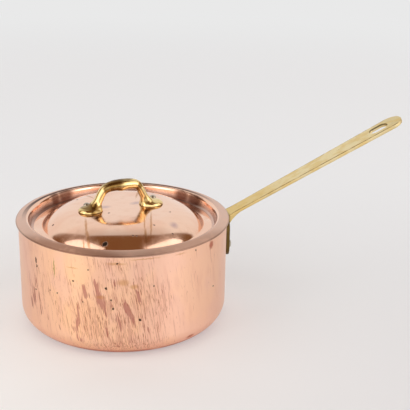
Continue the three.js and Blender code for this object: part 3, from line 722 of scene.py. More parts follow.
# One cup wall: a flat floor, a quarter circle for the bottom corner, a straight side and a rounded rim, out
# along one face and back along the other.
def cupProfile(inset, thickness, height):
    outer, corner = panRadius, panSizes["cornerRadius"]
    centre = (outer - corner, corner)
    rim = min(panSizes["rimRound"], thickness / 3)
    side = np.linspace(corner, height - rim, panSizes["sideRows"])[1:-1]
    down = np.linspace(height - rim, corner, 14)[1:-1]
    return np.concatenate([
        [[0, inset], [outer / 2, inset]],
        arcPoints(centre, corner - inset, -np.pi / 2, 0, 20),
        np.stack([np.full_like(side, outer - inset), side], axis=-1),
        arcPoints((outer - inset - rim, height - rim), rim, 0, np.pi / 2, 6),
        arcPoints((outer - inset - thickness + rim, height - rim), rim, np.pi / 2, np.pi, 6),
        np.stack([np.full_like(down, outer - inset - thickness), down], axis=-1),
        arcPoints(centre, corner - inset - thickness, 0, -np.pi / 2, 20),
        [[outer / 2, inset + thickness], [0, inset + thickness]],
    ])


def makePan():
    sizes = panSizes
    shell = turned("pan_body", cupProfile(0, sizes["copper"], panHeight), sizes["segments"])
    paintWall(shell)
    copper = layeredMetal("copper sheet, spun polish with dried runs", wallLook["copper"],
                          wallLook["roughness"], wallLayers, wallLook["spin"], 0.4)
    fit(shell, "pan", "pan_shell", copper)
    inset = sizes["copper"] + sizes["bondGap"]
    lining = turned("pan_inside", cupProfile(inset, sizes["lining"], panHeight - sizes["liningSetback"]),
                    sizes["segments"])
    fit(lining, "pan", "pan_lining", liningTin)


makePan()
print("pan made")


lidSizes = {
    "copper": 1.2,
    "overhang": 1.45,
    "slopeWidth": 5.8,
    "flatWidth": 3.5,
    "lipDrop": 1.7,
    "flangeRound": 7,
    "stepRun": 1.6,
    "stepRound": 3,
    "gutterWidth": 8.4,
    "gutterDepth": 8.4,
    "footRound": 2,
    "gutterSlope": 0.3,
    "domeEdgeRound": 2.4,
    "domeRise": 13.9,
    "shoulderRadius": 36,
    "crownRound": 1400,
    "tailLength": 2.6,
    "tailDrop": 2.14,
    "seatGap": 0.3,
    "lining": 0.3,
    "bondGap": 0.05,
    "segments": 320,
}


# The height of the lid's flange crest, its underside a seat gap above the rim.
def crestHeight():
    sizes = lidSizes
    slope = math.atan2(sizes["lipDrop"], sizes["slopeWidth"])
    lip = panHeight + sizes["seatGap"] + sizes["copper"] / math.cos(slope)
    return lip - sizes["overhang"] * math.tan(slope) + sizes["lipDrop"]


# The height of the dome's crown.
def crownHeight():
    return crestHeight() - lidSizes["gutterDepth"] + lidSizes["domeRise"]


# The lid's upper face from the axis to its lip: a nearly flat crown arc and a rounder shoulder arc that meet
# in one direction, then the gutter, the step and the sloping flange as straight runs with rounded corners.
def lidTopPath():
    sizes = lidSizes
    flange = panRadius + sizes["overhang"]
    crestRadius = flange - sizes["slopeWidth"]
    stepTop = crestRadius - sizes["flatWidth"]
    stepBottom = stepTop - sizes["stepRun"]
    domeEdge = stepBottom - sizes["gutterWidth"]
    crest = crestHeight()
    gutter = crest - sizes["gutterDepth"]
    crown = gutter + sizes["domeRise"]
    up = math.pi / 2
    crownAngle = math.asin(sizes["shoulderRadius"] / sizes["crownRound"])
    flat = arcPoints((0, crown - sizes["crownRound"]), sizes["crownRound"], up, up - crownAngle, 24)
    flat[0, 0] = 0
    start = flat[-1]
    run = domeEdge - sizes["tailLength"] - start[0]
    drop = sizes["domeRise"] - sizes["tailDrop"] - (crown - start[1])
    endAngle = 2 * math.atan2(drop, run) - crownAngle
    rounding = run / (math.sin(endAngle) - math.sin(crownAngle))
    centre = start - rounding * np.array([math.sin(crownAngle), math.cos(crownAngle)])
    shoulder = arcPoints(centre, rounding, up - crownAngle, up - endAngle, 48)
    tail = shoulder[-1]
    tailRun = (tail[1] - gutter) / math.tan(endAngle)
    rest = roundedPath([
        (*tail, 0),
        (tail[0] + tailRun, gutter, sizes["domeEdgeRound"]),
        (stepBottom, gutter + sizes["gutterSlope"], sizes["footRound"]),
        (stepTop, crest, sizes["stepRound"]),
        (crestRadius, crest, sizes["flangeRound"]),
        (flange, crest - sizes["lipDrop"], 0),
    ], 10)
    return np.concatenate([flat[:-1], shoulder[:-1], rest])


def makeLid():
    sizes = lidSizes
    top = lidTopPath()
    under = offsetPath(top, sizes["copper"])
    middle = (top[-1] + under[-1]) / 2
    edge = top[-1] - middle
    start = math.atan2(edge[1], edge[0])
    lip = arcPoints(middle, sizes["copper"] / 2, start, start - math.pi, 8)[1:-1]
    shell = turned("lid_body", np.concatenate([top, lip, under[::-1]]), sizes["segments"])
    copper = layeredMetal("copper sheet, buffed dome and satin flange", lidLook["dome"],
                          lidLook["domeRoughness"], lidLayers, lidLook["spin"], 0.3)
    fit(shell, "lid", "lid_shell", copper)
    reach = int(np.sum(top[:, 0] < topCorner("lid_lining")[0] - sizes["bondGap"]))
    outerFace = offsetPath(top, sizes["copper"] + sizes["bondGap"])[:reach]
    innerFace = offsetPath(top, sizes["copper"] + sizes["bondGap"] + sizes["lining"])[:reach]
    lining = turned("lid_inside", np.concatenate([outerFace, innerFace[::-1]]), sizes["segments"])
    fit(lining, "lid", "lid_lining", liningTin)


makeLid()
print("lid made")


loopSizes = {
    "turn": 5,
    "offset": -1.8,
    "height": 18.75,
    "halfSpan": 21.2,
    "barDepth": 8.2,
    "barWidth": 8.2,
    "barSwell": 1.1,
    "swellReach": 15,
    "legDepth": 6.2,
    "legWidth": 8,
    "flareDepth": 12,
    "flareWidth": 13,
    "legPower": 2.3,
    "barPower": 2.1,
    "bump": 1,
    "bumpReach": 5.44,
    "footLength": 17.6,
    "footWidth": 17,
    "footThickness": 3.7,
    "footPower": 2.25,
    "fillet": 0.9,
    "footOffset": 4.5,
    "footRound": 1.3,
    "footSink": 3,
    "voxel": 0.26,
    "cutterReach": 58,          # the dome's face is cut from the feet out to here
    "cutterDepth": 12,
    "flareShare": 0.3,          # share of the way from a foot to the middle at which the flare ends
    "barShares": (0.42, 0.86),  # and the shares between which the leg swells into the bar
}
# The halves of the loop's centre line, as shares of its half span and height, from a foot to the middle. The
# left shoulder is cast a little lower than the right one.
loopLeftShares = np.array([
    [1.03, -0.06], [0.97, 0.18], [0.84, 0.48], [0.74, 0.71], [0.61, 0.87], [0.38, 0.96], [0, 1]])
loopRightShares = np.array([
    [1.03, -0.06], [0.97, 0.18], [0.84, 0.5], [0.73, 0.76], [0.6, 0.93], [0.38, 0.99], [0, 1]])


# A smooth curve through points, evenly spaced along its length: each span is a cubic whose end slopes are
# half the step between the neighbours of its ends.
def smoothCurve(knots, count):
    padded = np.concatenate([2 * knots[:1] - knots[1:2], knots, 2 * knots[-1:] - knots[-2:-1]])
    share = np.linspace(0, 1, 40, endpoint=False)[None, :, None]
    before, start, end, after = (padded[i:len(padded) - 3 + i][:, None] for i in range(4))
    curve = 0.5 * (2 * start + (end - before) * share
                   + (2 * before - 5 * start + 4 * end - after) * share ** 2
                   + (3 * start - before - 3 * end + after) * share ** 3)
    curve = np.concatenate([curve.reshape(-1, knots.shape[1]), knots[-1:]])
    travelled = np.concatenate([[0], np.cumsum(np.linalg.norm(np.diff(curve, axis=0), axis=1))])
    even = np.linspace(0, travelled[-1], count)
    return np.stack([np.interp(even, travelled, column) for column in curve.T], axis=-1)


# The loop's centre line in the x-z plane with its tangent, and per station half depth, half width, the power
# of its rings and the bump under the middle. A half size goes from the flare's to the leg's to the bar's.
def loopLine():
    sizes = loopSizes
    left = loopLeftShares * (-sizes["halfSpan"], sizes["height"])
    right = loopRightShares[:-1][::-1] * (sizes["halfSpan"], sizes["height"])
    stations = 160
    centre = smoothCurve(np.concatenate([left, right]), stations)
    along = np.gradient(centre, axis=0)
    along /= np.linalg.norm(along, axis=1, keepdims=True)
    share = np.linspace(0, 1, stations)
    fromFoot = np.minimum(share, 1 - share) * 2
    leg = smoothStep(fromFoot, 0, sizes["flareShare"])
    bar = smoothStep(fromFoot, *sizes["barShares"])
    half = {}
    for way in ("Depth", "Width"):
        flared, slim, swollen = (sizes[part + way] / 2 for part in ("flare", "leg", "bar"))
        half[way] = flared + leg * (slim + bar * (swollen - slim) - flared)
    aside = np.abs(centre[:, 0])
    return {
        "x": centre[:, 0], "z": centre[:, 1], "alongX": along[:, 0], "alongZ": along[:, 1],
        "depth": half["Depth"],
        "width": half["Width"] + sizes["barSwell"] * (1 - smoothStep(aside, 0, sizes["swellReach"])),
        "power": sizes["legPower"] + (sizes["barPower"] - sizes["legPower"]) * bar,
        "bump": sizes["bump"] * (1 - smoothStep(aside, 0, sizes["bumpReach"])),
    }


# The loop's skin: a ring is a rounded box, |x/depth|^n + |y/width|^n = 1, flared at the feet, slim at the
# legs and deep at the bar.
def loopSkin(line):
    around = 48
    power = 2 / line["power"][:, None]
    angle = np.linspace(0, 2 * np.pi, around, endpoint=False)[None, :]
    across = np.sign(np.cos(angle)) * np.abs(np.cos(angle)) ** power * line["width"][:, None]
    outward = np.sign(np.sin(angle)) * np.abs(np.sin(angle)) ** power * line["depth"][:, None]
    outward = np.where(outward < 0, outward - line["bump"][:, None] * np.abs(np.sin(angle)), outward)
    grid = np.stack([
        line["x"][:, None] - line["alongZ"][:, None] * outward,
        across,
        line["z"][:, None] + line["alongX"][:, None] * outward,
    ], axis=-1)
    return skinOver("lid_loop", grid)


# How far points lie outside the handle. The loop's part is ((|o|/depth)^n + (|y|/width)^n)^(1/n) - 1 with o
# the distance off the centre line, and a foot's part is the same for a low oval dome. They join as
# -k log(sum of e^(-part/k)), which leaves a fillet of about k between them.
def loopField(points, line):
    sizes = loopSizes
    x, y, z = points.T
    centres = np.stack([line["x"], line["z"]], axis=-1)
    nearest = np.concatenate([          # in chunks, to spare memory
        np.argmin((chunk[:, :1] - centres[:, 0]) ** 2 + (chunk[:, 2:] - centres[:, 1]) ** 2, axis=1)
        for chunk in np.array_split(points, 24)])
    spacing = np.linalg.norm(centres[1] - centres[0])
    ahead = ((x - line["x"][nearest]) * line["alongX"][nearest]
             + (z - line["z"][nearest]) * line["alongZ"][nearest])
    station = nearest + np.clip(ahead / spacing, -0.5, 0.5)
    index = np.arange(len(centres))
    at = {key: np.interp(station, index, values) for key, values in line.items()}
    outward = (z - at["z"]) * at["alongX"] - (x - at["x"]) * at["alongZ"]
    outward = np.where(outward < 0, np.minimum(outward + at["bump"], 0), outward)
    ring = ((np.abs(outward) / at["depth"]) ** at["power"] + (np.abs(y) / at["width"]) ** at["power"])
    parts = [(ring ** (1 / at["power"]) - 1) * np.minimum(at["depth"], at["width"])]
    power = sizes["footPower"]
    for direction in (-1, 1):
        reach = direction * (sizes["halfSpan"] + sizes["footOffset"])
        flat = ((x - reach) / (sizes["footLength"] / 2)) ** 2 + (y / (sizes["footWidth"] / 2)) ** 2
        foot = flat ** (power / 2) + (np.maximum(z, 0) / sizes["footThickness"]) ** power
        parts.append((foot ** (1 / power) - 1) * sizes["footThickness"])
    fillet = sizes["fillet"]
    return -fillet * np.log(sum(np.exp(-np.clip(part, -20, 20) / fillet) for part in parts))


# Moves every point of the joined mesh on to the field's zero by Newton steps, p - f grad f / |grad f|^2.
def settleOnField(piece, line):
    points = meshPoints(piece)
    nudge, leastSlope, longestStep = 0.02, 0.05, 0.8
    for step in range(5):
        value = loopField(points, line)
        slope = np.stack([(loopField(points + nudge * axis, line) - value) / nudge for axis in np.eye(3)],
                         axis=-1)
        move = value[:, None] * slope / np.maximum((slope ** 2).sum(axis=1, keepdims=True), leastSlope)
        reach = np.linalg.norm(move, axis=1, keepdims=True)
        points = points - move * np.minimum(1, longestStep / np.maximum(reach, 1e-6))
    piece.data.vertices.foreach_set("co", (points * millimetre).ravel())
    piece.data.update()


# One foot: an oval pad whose half axes shrink towards its top by a quarter circle.
def footSkin(direction):
    sizes = loopSizes
    reach = sizes["halfSpan"] + sizes["footOffset"]
    angle = np.linspace(0, 2 * np.pi, 64, endpoint=False)
    turn = np.linspace(0, np.pi / 2, 8)
    rounding = sizes["footRound"]
    inset = np.concatenate([[0], rounding * (1 - np.cos(turn))])[:, None]
    edge = sizes["footThickness"] - rounding + rounding * np.sin(turn)
    height = np.concatenate([[-sizes["footSink"]], edge])[:, None]
    grid = np.stack([
        direction * reach + (sizes["footLength"] / 2 - inset) * np.cos(angle),
        (sizes["footWidth"] / 2 - inset) * np.sin(angle),
        height + 0 * angle,
    ], axis=-1)
    return skinOver("lid_foot", grid)


def makeLoop():
    sizes = loopSizes
    crown = crownHeight()
    line = loopLine()
    handle = loopSkin(line)
    for direction in (-1, 1):
        combine(handle, footSkin(direction), "UNION")
    blend = handle.modifiers.new("blend", "REMESH")
    blend.mode = "VOXEL"
    blend.voxel_size = sizes["voxel"] * millimetre
    smooth = handle.modifiers.new("smooth", "SMOOTH")
    smooth.factor = 0.5
    smooth.iterations = 14
    applyModifiers(handle)
    settleOnField(handle, line)
    movePoints(handle, Matrix.Identity(3), (sizes["offset"], 0, crown))
    movePoints(handle, Matrix.Rotation(math.radians(sizes["turn"]), 3, "Z"), (0, 0, 0))
    face = lidTopPath()
    face = face[face[:, 0] < sizes["cutterReach"]]
    bottom = crown - sizes["cutterDepth"]
    cutter = turned("under_feet", np.concatenate([[[0, bottom], [face[-1, 0], bottom]],
                                                  offsetPath(face, -lidSizes["seatGap"])[::-1]]), 128)
    combine(handle, cutter, "DIFFERENCE")
    brass = layeredMetal("brass, cast and buffed", loopLook["brass"], loopLook["roughness"], loopLayers,
                         0, 0.3)
    fit(handle, "lid", "lid_handle", brass, 60)


makeLoop()
print("loop made")


rivetSizes = {
    "panShank": 2.6,
    "panHead": 4.5,
    "panDome": 2.2,
    "lidShank": 1.7,
    "lidHead": 2.8,
    "lidDome": 1.8,
    "innerHead": 1.4,
    "lidOffset": 1.55,
    "lidShift": 0.85,
    "lidSide": 4.9,
    "lidSink": 0.35,
    "lidSeatDrop": 0.9,         # the inner heads sit this much lower than the lining at the crown
    "panSeatGap": 0.1,
    "segments": 48,
}


# A rivet about z: a thin inner head, a shank and a domed outer head, as one turned profile.
def rivetSkin(name, shank, head, dome, innerSeat, outerSeat):
    rounding = (head * head + dome * dome) / (2 * dome)
    domeAngle = math.asin(head / rounding)
    thin = rivetSizes["innerHead"]
    top = arcPoints((0, outerSeat + dome - rounding), rounding, math.pi / 2 - domeAngle, math.pi / 2, 12)
    top[-1, 0] = 0
    inner = arcPoints((head - thin / 2, innerSeat - thin / 2), thin / 2, -math.pi / 2, math.pi / 2, 6)
    profile = [[[0, innerSeat - thin]], inner, [[shank, innerSeat], [shank, outerSeat]], top]
    return turned(name, np.concatenate(profile), rivetSizes["segments"])


# The lid's rivets stand beside the loop's legs. The plate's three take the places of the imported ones, and the
# outer two face out of the curved wall.
def makeRivets():
    sizes = rivetSizes
    lid, loop = lidSizes, loopSizes
    metal = layeredMetal("rivet metal, hammered and worn", rivetLook["metal"], rivetLook["roughness"],
                         rivetLayers, 0, 0.4)
    crown = crownHeight()
    turn = Matrix.Rotation(math.radians(loop["turn"]), 3, "Z")
    for number, direction in enumerate((-1, 1), 1):
        reach = loop["halfSpan"] + loop["footOffset"] + sizes["lidOffset"]
        under = crown - lid["copper"] - lid["bondGap"] - lid["lining"] - sizes["lidSeatDrop"]
        rivet = rivetSkin(f"lid_rivet_{number}", sizes["lidShank"], sizes["lidHead"], sizes["lidDome"],
                          under, crown + loop["footThickness"] - sizes["lidSink"])
        seat = Vector((loop["offset"] + sizes["lidShift"] + direction * reach, sizes["lidSide"], 0))
        movePoints(rivet, turn, turn @ seat)
        fit(rivet, "lid", f"lid_handle_rivet_{number}", metal)
    for number in (1, 2, 3):
        low, high = (np.array(corner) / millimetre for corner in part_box(f"pan_handle_rivet_{number}"))
        middle = (low + high) / 2
        plateFace = panRadius + handleSizes["seatGap"] + handleSizes["plateThickness"]
        inside = topCorner("pan_lining")[0] - panSizes["lining"] - sizes["panSeatGap"]
        side = middle[1]
        facing = math.asin(side / high[0]) if abs(side) > 1 else 0
        rivet = rivetSkin(f"handle_rivet_{number}", sizes["panShank"], sizes["panHead"], sizes["panDome"],
                          inside, plateFace)
        lay = Matrix.Rotation(facing, 3, "Z") @ Matrix.Rotation(math.pi / 2, 3, "Y")
        movePoints(rivet, lay, (0, 0, middle[2]))
        fit(rivet, "pan", f"pan_handle_rivet_{number}", metal)


handleSizes = {
    "seatGap": 0.3,
    "plateThickness": 3.2,
    "plateWidth": 39,
    "plateTopDrop": 5.5,
    "plateShoulderDrop": 28.4,
    "plateTipDrop": 4.5,
    "plateTipWidth": 12,
    "plateTopRound": 9,
    "plateShoulderRound": 9,
    "plateTipRound": 6,
    "plateEdgeRound": 0.9,
    "tilt": 25.2,
    "length": 174.3,
    "rootDrop": 1.5,
    "rootWidth": 12.6,
    "endWidth": 18.3,
    "rootThickness": 2.4,
    "endThickness": 3.3,
    "edgeRound": 0.7,
    "tipLength": 11,
    "slotLength": 16.4,
    "slotWidth": 9,
    "slotToTip": 21.5,
    "slotRound": 0.45,
    "neckReach": 15,
    "neckDrop": 13.8,
    "neckWing": 4.5,
}


# Where the strap's upper line leaves the wall: its radius and height.
def strapRoot():
    return panRadius, panHeight - handleSizes["plateTopDrop"] - handleSizes["rootDrop"]


# The strap's thickness at a distance along it, as a straight taper.
def strapThickness(along):
    sizes = handleSizes
    return sizes["rootThickness"] + (sizes["endThickness"] - sizes["rootThickness"]) * along / sizes["length"]


# A rounded rectangle per station, as (sideways, depth) points: half width and depth range come in as columns,
# and each corner is a quarter circle of the station's own round.
def roundedSections(halfWidth, top, bottom, rounding, steps=6):
    quarter = np.linspace(0, np.pi / 2, steps + 1)
    angle = np.concatenate([quarter, quarter + np.pi / 2, quarter + np.pi, quarter + 1.5 * np.pi])[None, :]
    sideSign = np.repeat([1, -1, -1, 1], steps + 1)[None, :]
    isTop = np.repeat([True, True, False, False], steps + 1)[None, :]
    rounding = np.minimum(rounding, np.minimum(halfWidth, (top - bottom) / 2))[:, None]
    sideways = sideSign * (halfWidth[:, None] - rounding) + rounding * np.cos(angle)
    depth = np.where(isTop, top[:, None] - rounding, bottom[:, None] + rounding) + rounding * np.sin(angle)
    return sideways, depth


# The strap with its neck: sections along a line tilted up from the pan. Past the neck the width is a straight
# taper, then a half oval; the underside sweeps down to the plate as a quarter circle.
def strapSkin():
    sizes = handleSizes
    tilt = math.radians(sizes["tilt"])
    tipStart = sizes["length"] - sizes["tipLength"]
    neckEnd = sizes["neckReach"] * 1.2
    along = np.concatenate([
        np.linspace(-0.5, neckEnd, 30),
        np.linspace(neckEnd, tipStart, 60)[1:],
        tipStart + sizes["tipLength"] * np.sin(np.linspace(0, np.pi / 2, 28)[1:]),
    ])
    taper = np.clip(along / tipStart, 0, 1)
    half = (sizes["rootWidth"] + (sizes["endWidth"] - sizes["rootWidth"]) * taper) / 2
    intoTip = np.clip((along - tipStart) / sizes["tipLength"], 0, 1)
    half = half * np.sqrt(1 - intoTip ** 2)
    thickness = strapThickness(along)
    share = np.clip((along * math.cos(tilt) - sizes["seatGap"]) / sizes["neckReach"], 0, 1)
    sweep = 1 - np.sqrt(1 - (1 - share) ** 2)
    half = half + sizes["neckWing"] * sweep
    leave = np.clip(sizes["length"] - along, 0, sizes["edgeRound"])
    shrink = sizes["edgeRound"] - np.sqrt(sizes["edgeRound"] ** 2 - (sizes["edgeRound"] - leave) ** 2)
    down = smoothStep(along, 0, neckEnd)[:, None]
    downward = (1 - down) * np.array([[0, -1]]) + down * np.array([[math.sin(tilt), -math.cos(tilt)]])
    downward /= np.linalg.norm(downward, axis=1, keepdims=True)
    lean = -downward @ np.array([-math.sin(tilt), math.cos(tilt)])
    depth = thickness / lean + sizes["neckDrop"] * sweep
    sideways, level = roundedSections(half, -shrink, -depth + shrink, np.full_like(along, sizes["edgeRound"]))
    root, rootHeight = strapRoot()
    grid = np.stack([
        root + along[:, None] * math.cos(tilt) - downward[:, 0, None] * level,
        sideways,
        rootHeight + along[:, None] * math.sin(tilt) - downward[:, 1, None] * level,
    ], axis=-1)
    return skinOver("long_handle", grid)


# The shield plate: sections across it at rising heights, bent round the pan. Its half width at a height is
# read off a rounded outline, and its depth shrinks at the two ends by a quarter circle.
def plateSkin():
    sizes = handleSizes
    top = panHeight - sizes["plateTopDrop"]
    shoulder = top - sizes["plateShoulderDrop"]
    tip = shoulder - sizes["plateTipDrop"]
    half = sizes["plateWidth"] / 2
    outline = roundedPath([
        (0, tip, 0),
        (sizes["plateTipWidth"] / 2, tip, sizes["plateTipRound"]),
        (half, shoulder, sizes["plateShoulderRound"]),
        (half, top, sizes["plateTopRound"]),
        (0, top, 0),
    ], 16)[1:-1]
    edge = sizes["plateEdgeRound"]
    rounded = edge * (1 - np.cos(np.linspace(0, np.pi / 2, 7)))
    height = np.unique(np.concatenate([outline[:, 1], tip + rounded, top - rounded]).round(4))
    halfWidth = np.interp(height, outline[:, 1], outline[:, 0])
    leave = np.clip(np.minimum(height - tip, top - height), 0, edge)
    shrink = edge - np.sqrt(edge ** 2 - (edge - leave) ** 2)
    sideways, depth = roundedSections(halfWidth, sizes["plateThickness"] - shrink, shrink,
                                      np.full_like(height, edge))
    inner = panRadius + sizes["seatGap"]
    share = np.linspace(0, 1, 12, endpoint=False)
    following = np.roll(np.arange(sideways.shape[1]), -1)
    sideways, depth = (
        (side[:, :, None] + (side[:, following] - side)[:, :, None] * share).reshape(len(height), -1)
        for side in (sideways, depth))
    angle = sideways / inner
    radius = inner + depth
    grid = np.stack([radius * np.cos(angle), radius * np.sin(angle), height[:, None] + 0 * angle], axis=-1)
    return skinOver("shield_plate", grid)


# The hanging slot's cutter: a long round hole whose outline widens to each face by a quarter circle.
def slotSkin():
    sizes = handleSizes
    tilt = math.radians(sizes["tilt"])
    centre = sizes["length"] - sizes["slotToTip"]
    thickness = strapThickness(centre)
    rounding = sizes["slotRound"]
    turn = np.linspace(0, np.pi / 2, 8)
    level = np.concatenate([[3], rounding * (np.cos(turn) - 1)])
    flare = np.concatenate([[rounding * 1.3], rounding * (1 - np.sin(turn))])
    level = np.concatenate([level, -thickness - level[::-1]])
    flare = np.concatenate([flare, flare[::-1]])
    angle = np.linspace(0, 2 * np.pi, 72, endpoint=False)[None, :]
    radius = sizes["slotWidth"] / 2 + flare[:, None]
    straight = (sizes["slotLength"] - sizes["slotWidth"]) / 2
    lengthways = np.sign(np.cos(angle)) * straight + radius * np.cos(angle)
    sideways = radius * np.sin(angle)
    root, rootHeight = strapRoot()
    place = centre + lengthways
    grid = np.stack([
        root + place * math.cos(tilt) - level[:, None] * math.sin(tilt),
        sideways,
        rootHeight + place * math.sin(tilt) + level[:, None] * math.cos(tilt),
    ], axis=-1)
    return skinOver("slot_cutter", grid)


def makeHandle():
    handle = strapSkin()
    inner = panRadius + handleSizes["seatGap"] + handleSizes["plateThickness"] / 2
    low, high = 20, 100         # well past the foot of the plate and the top of the wall
    core = turned("root_cutter", np.array([[0, low], [inner, low], [inner, high], [0, high]]), 256)
    combine(handle, core, "DIFFERENCE")
    combine(handle, plateSkin(), "UNION")
    combine(handle, slotSkin(), "DIFFERENCE")
    brass = layeredMetal("brass, cast and filed satin", strapLook["brass"], strapLook["roughness"],
                         strapLayers, 0, 0.4)
    fit(handle, "pan", "pan_handle", brass, 35)
    level = handle.modifiers.new("even shading", "WEIGHTED_NORMAL")
    level.keep_sharp = True


makeHandle()
makeRivets()
print("long handle and rivets made")


# The studio as the photographed metal mirrors it: a white paper sweep behind the pan, a soft light on each
# side of the camera, and a dim room overhead. Headings are in degrees from straight behind the pan as
# photographed, which lies 13 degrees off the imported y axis. Levels are linear, 1 is white.
studio = {
    "turn": 13,
    "sweepLeft": -55,
    "sweepRight": 57,
    "sweepTop": 0.3,            # the sweep ends where its depth is this share of its height
    "sweepBlur": 0.04,
    "sweepLevel": 0.93,
    "sweepTopLevel": 0.68,
    "sweepTopFade": (0.72, 0.92),
    "room": "#7E5B3C",
    # Paler parts of the room, as windows on how far a direction points aside, up and behind the pan.
    "sideGlow": 0.2,
    "sideWindows": [("aside", 0.3, 0.55), ("up", 0.5, 0.72), ("behind", -0.35, 0)],
    "frontLevel": 1.65,         # a pale reflector low on the camera's side
    "frontWindows": [("behind", -0.3, -0.55), ("up", 0.7, 0.52)],
    "backdrop": "#E9E9E9",
    "floor": "#D2D0CF",
    "floorSize": 16,                # metres
    "floorGlow": {"nearLeft": "#9B9C9A", "nearRight": "#656C74", "far": "#7F888E"},
    "floorGlowSpan": (-0.25, 0.4),
    "backdropSpan": (0.8, 1.7),     # metres from the pan's axis over which the floor fades to the backdrop
    # Each soft light is an upright panel: the heading that its plane faces, the headings of its sides and the
    # height of its top edge in degrees, its bottom's height and its plane's distance in metres, and a level.
    "leftLight": {"plane": -125, "sides": (-76, -137), "top": 65, "bottom": 0.02, "distance": 2,
                  "level": 1.25},
    "rightLight": {"plane": 130, "sides": (75, 137), "top": 63, "bottom": 0.02, "distance": 2,
                   "level": 1.25},
}


# The floor's glow goes from its near left to its near right colour along the picture, then to its far colour
# away from the camera, and only camera and mirrors see it.
def addFloor():
    half = studio["floorSize"] / 2
    mesh = bpy.data.meshes.new("floor")
    corners = [(-half, -half, 0), (half, -half, 0), (half, half, 0), (-half, half, 0)]
    mesh.from_pydata(corners, [], [(0, 1, 2, 3)])
    floor = addObject("floor", mesh)
    material = bpy.data.materials.new("paper sweep, matt white")
    material.use_nodes = True
    tree = material.node_tree
    shader = tree.nodes["Principled BSDF"]
    shader.inputs["Base Color"].default_value = linearColour(studio["floor"])
    shader.inputs["Roughness"].default_value = 0.9
    heading = math.radians(cameraView["heading"])
    place = addNode(tree, "ShaderNodeTexCoord", {}, {}).outputs["Object"]
    glow = linearColour(studio["floorGlow"]["nearLeft"])
    for name, axis in (("nearRight", (math.cos(heading), -math.sin(heading), 0)),
                       ("far", (math.sin(heading), math.cos(heading), 0))):
        along = addNode(tree, "ShaderNodeVectorMath", {"operation": "DOT_PRODUCT"}, {0: place, 1: axis})
        share = windowMask(tree, [(along.outputs["Value"], *studio["floorGlowSpan"])])
        glow = addNode(tree, "ShaderNodeMix", {"data_type": "RGBA"}, {
            0: share, 6: glow, 7: linearColour(studio["floorGlow"][name])}).outputs[2]
    path = addNode(tree, "ShaderNodeLightPath", {}, {}).outputs
    shown = 0.0
    for ray in ("Is Glossy Ray", "Is Transmission Ray", "Is Camera Ray"):
        shown = addNode(tree, "ShaderNodeMath", {"operation": "MAXIMUM"}, {0: path[ray], 1: shown}).outputs[0]
    tree.links.new(glow, shader.inputs["Emission Color"])
    tree.links.new(shown, shader.inputs["Emission Strength"])
    away = addNode(tree, "ShaderNodeVectorMath", {"operation": "LENGTH"}, {0: place}).outputs["Value"]
    away = windowMask(tree, [(away, *studio["backdropSpan"])], path["Is Camera Ray"])
    plain = addNode(tree, "ShaderNodeEmission", {"label": "plain backdrop"},
                    {"Color": linearColour(studio["backdrop"])}).outputs[0]
    both = addNode(tree, "ShaderNodeMixShader", {}, {0: away, 1: shader.outputs[0], 2: plain})
    tree.links.new(both.outputs[0], tree.nodes["Material Output"].inputs["Surface"])
    mesh.materials.append(material)


# An upright soft panel facing the pan. A heading off its plane's own by an angle a meets the plane at
# distance times tan a along it, and an area light's power is its level times pi times its area.
def addSoftLight(name, sizes):
    distance = sizes["distance"]
    plane = math.radians(sizes["plane"] + studio["turn"])
    ends = [distance * math.tan(math.radians(side - sizes["plane"])) for side in sizes["sides"]]
    bottom, top = sizes["bottom"], distance * math.tan(math.radians(sizes["top"]))
    data = bpy.data.lights.new(name, "AREA")
    data.shape = "RECTANGLE"
    data.size, data.size_y = abs(ends[1] - ends[0]), top - bottom
    data.energy = sizes["level"] * math.pi * data.size * data.size_y
    light = addObject(name, data)
    away = np.array([math.sin(plane), math.cos(plane), 0])
    side = np.array([math.cos(plane), -math.sin(plane), 0])
    centre = away * distance + side * (ends[0] + ends[1]) / 2 + np.array([0, 0, (top + bottom) / 2])
    turn = Matrix(np.stack([np.cross([0, 0, 1], away), [0, 0, 1], away], axis=1).tolist()).to_4x4()
    light.matrix_world = Matrix.Translation(centre.tolist()) @ turn
    light.visible_camera = False


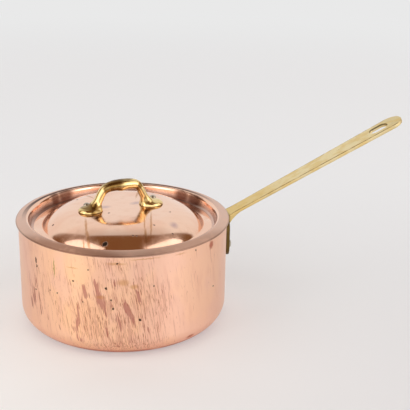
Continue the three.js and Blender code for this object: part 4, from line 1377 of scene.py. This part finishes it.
# The world is the mirrored studio for every ray but the camera's, which sees the plain backdrop.
def addWorld():
    world = bpy.data.worlds.new("studio")
    bpy.context.scene.world = world
    world.use_nodes = True
    tree = world.node_tree
    tree.nodes.clear()
    direction = addNode(tree, "ShaderNodeTexCoord", {}, {}).outputs["Generated"]
    direction = addNode(tree, "ShaderNodeVectorRotate", {"rotation_type": "Z_AXIS"},
                        {"Vector": direction, "Angle": math.radians(studio["turn"])}).outputs[0]
    left, right = math.radians(studio["sweepLeft"]), math.radians(studio["sweepRight"])
    sweep, blur = 1.0, studio["sweepBlur"]
    for edge in ((math.cos(left), -math.sin(left), 0), (-math.cos(right), math.sin(right), 0),
                 (0, 1, -studio["sweepTop"])):
        inside = addNode(tree, "ShaderNodeVectorMath", {"operation": "DOT_PRODUCT"}, {0: direction, 1: edge})
        sweep = windowMask(tree, [(inside.outputs["Value"], -blur, blur)], sweep)
    axes = addNode(tree, "ShaderNodeSeparateXYZ", {}, {0: direction}).outputs
    aside = addNode(tree, "ShaderNodeMath", {"operation": "ABSOLUTE"}, {0: axes["X"]}).outputs[0]
    ways = {"aside": aside, "up": axes["Z"], "behind": axes["Y"]}
    low, high = studio["sweepTopFade"]
    level = addNode(tree, "ShaderNodeMapRange", {}, {
        "Value": axes["Z"], "From Min": low, "From Max": high,
        "To Min": studio["sweepLevel"], "To Max": studio["sweepTopLevel"]}).outputs[0]
    glow, front = (windowMask(tree, [(ways[way], low, high) for way, low, high in studio[windows]], start)
                   for windows, start in (("sideWindows", studio["sideGlow"]), ("frontWindows", 1.0)))
    seen = linearColour(studio["room"])
    for share, above in ((glow, (1, 1, 1, 1)), (front, (*(studio["frontLevel"],) * 3, 1)), (sweep, level)):
        seen = addNode(tree, "ShaderNodeMix", {"data_type": "RGBA"}, {0: share, 6: seen, 7: above}).outputs[2]
    around = addNode(tree, "ShaderNodeBackground", {"label": "mirrored studio"}, {"Color": seen}).outputs[0]
    plain = addNode(tree, "ShaderNodeBackground", {"label": "plain backdrop"},
                    {"Color": linearColour(studio["backdrop"])}).outputs[0]
    path = addNode(tree, "ShaderNodeLightPath", {}, {})
    both = addNode(tree, "ShaderNodeMixShader", {}, {0: path.outputs["Is Camera Ray"], 1: around, 2: plain})
    addNode(tree, "ShaderNodeOutputWorld", {}, {"Surface": both.outputs[0]})


addFloor()
addSoftLight("soft_left", studio["leftLight"])
addSoftLight("soft_right", studio["rightLight"])
addWorld()
bpy.context.scene.view_settings.view_transform = "Standard"
print("studio set")
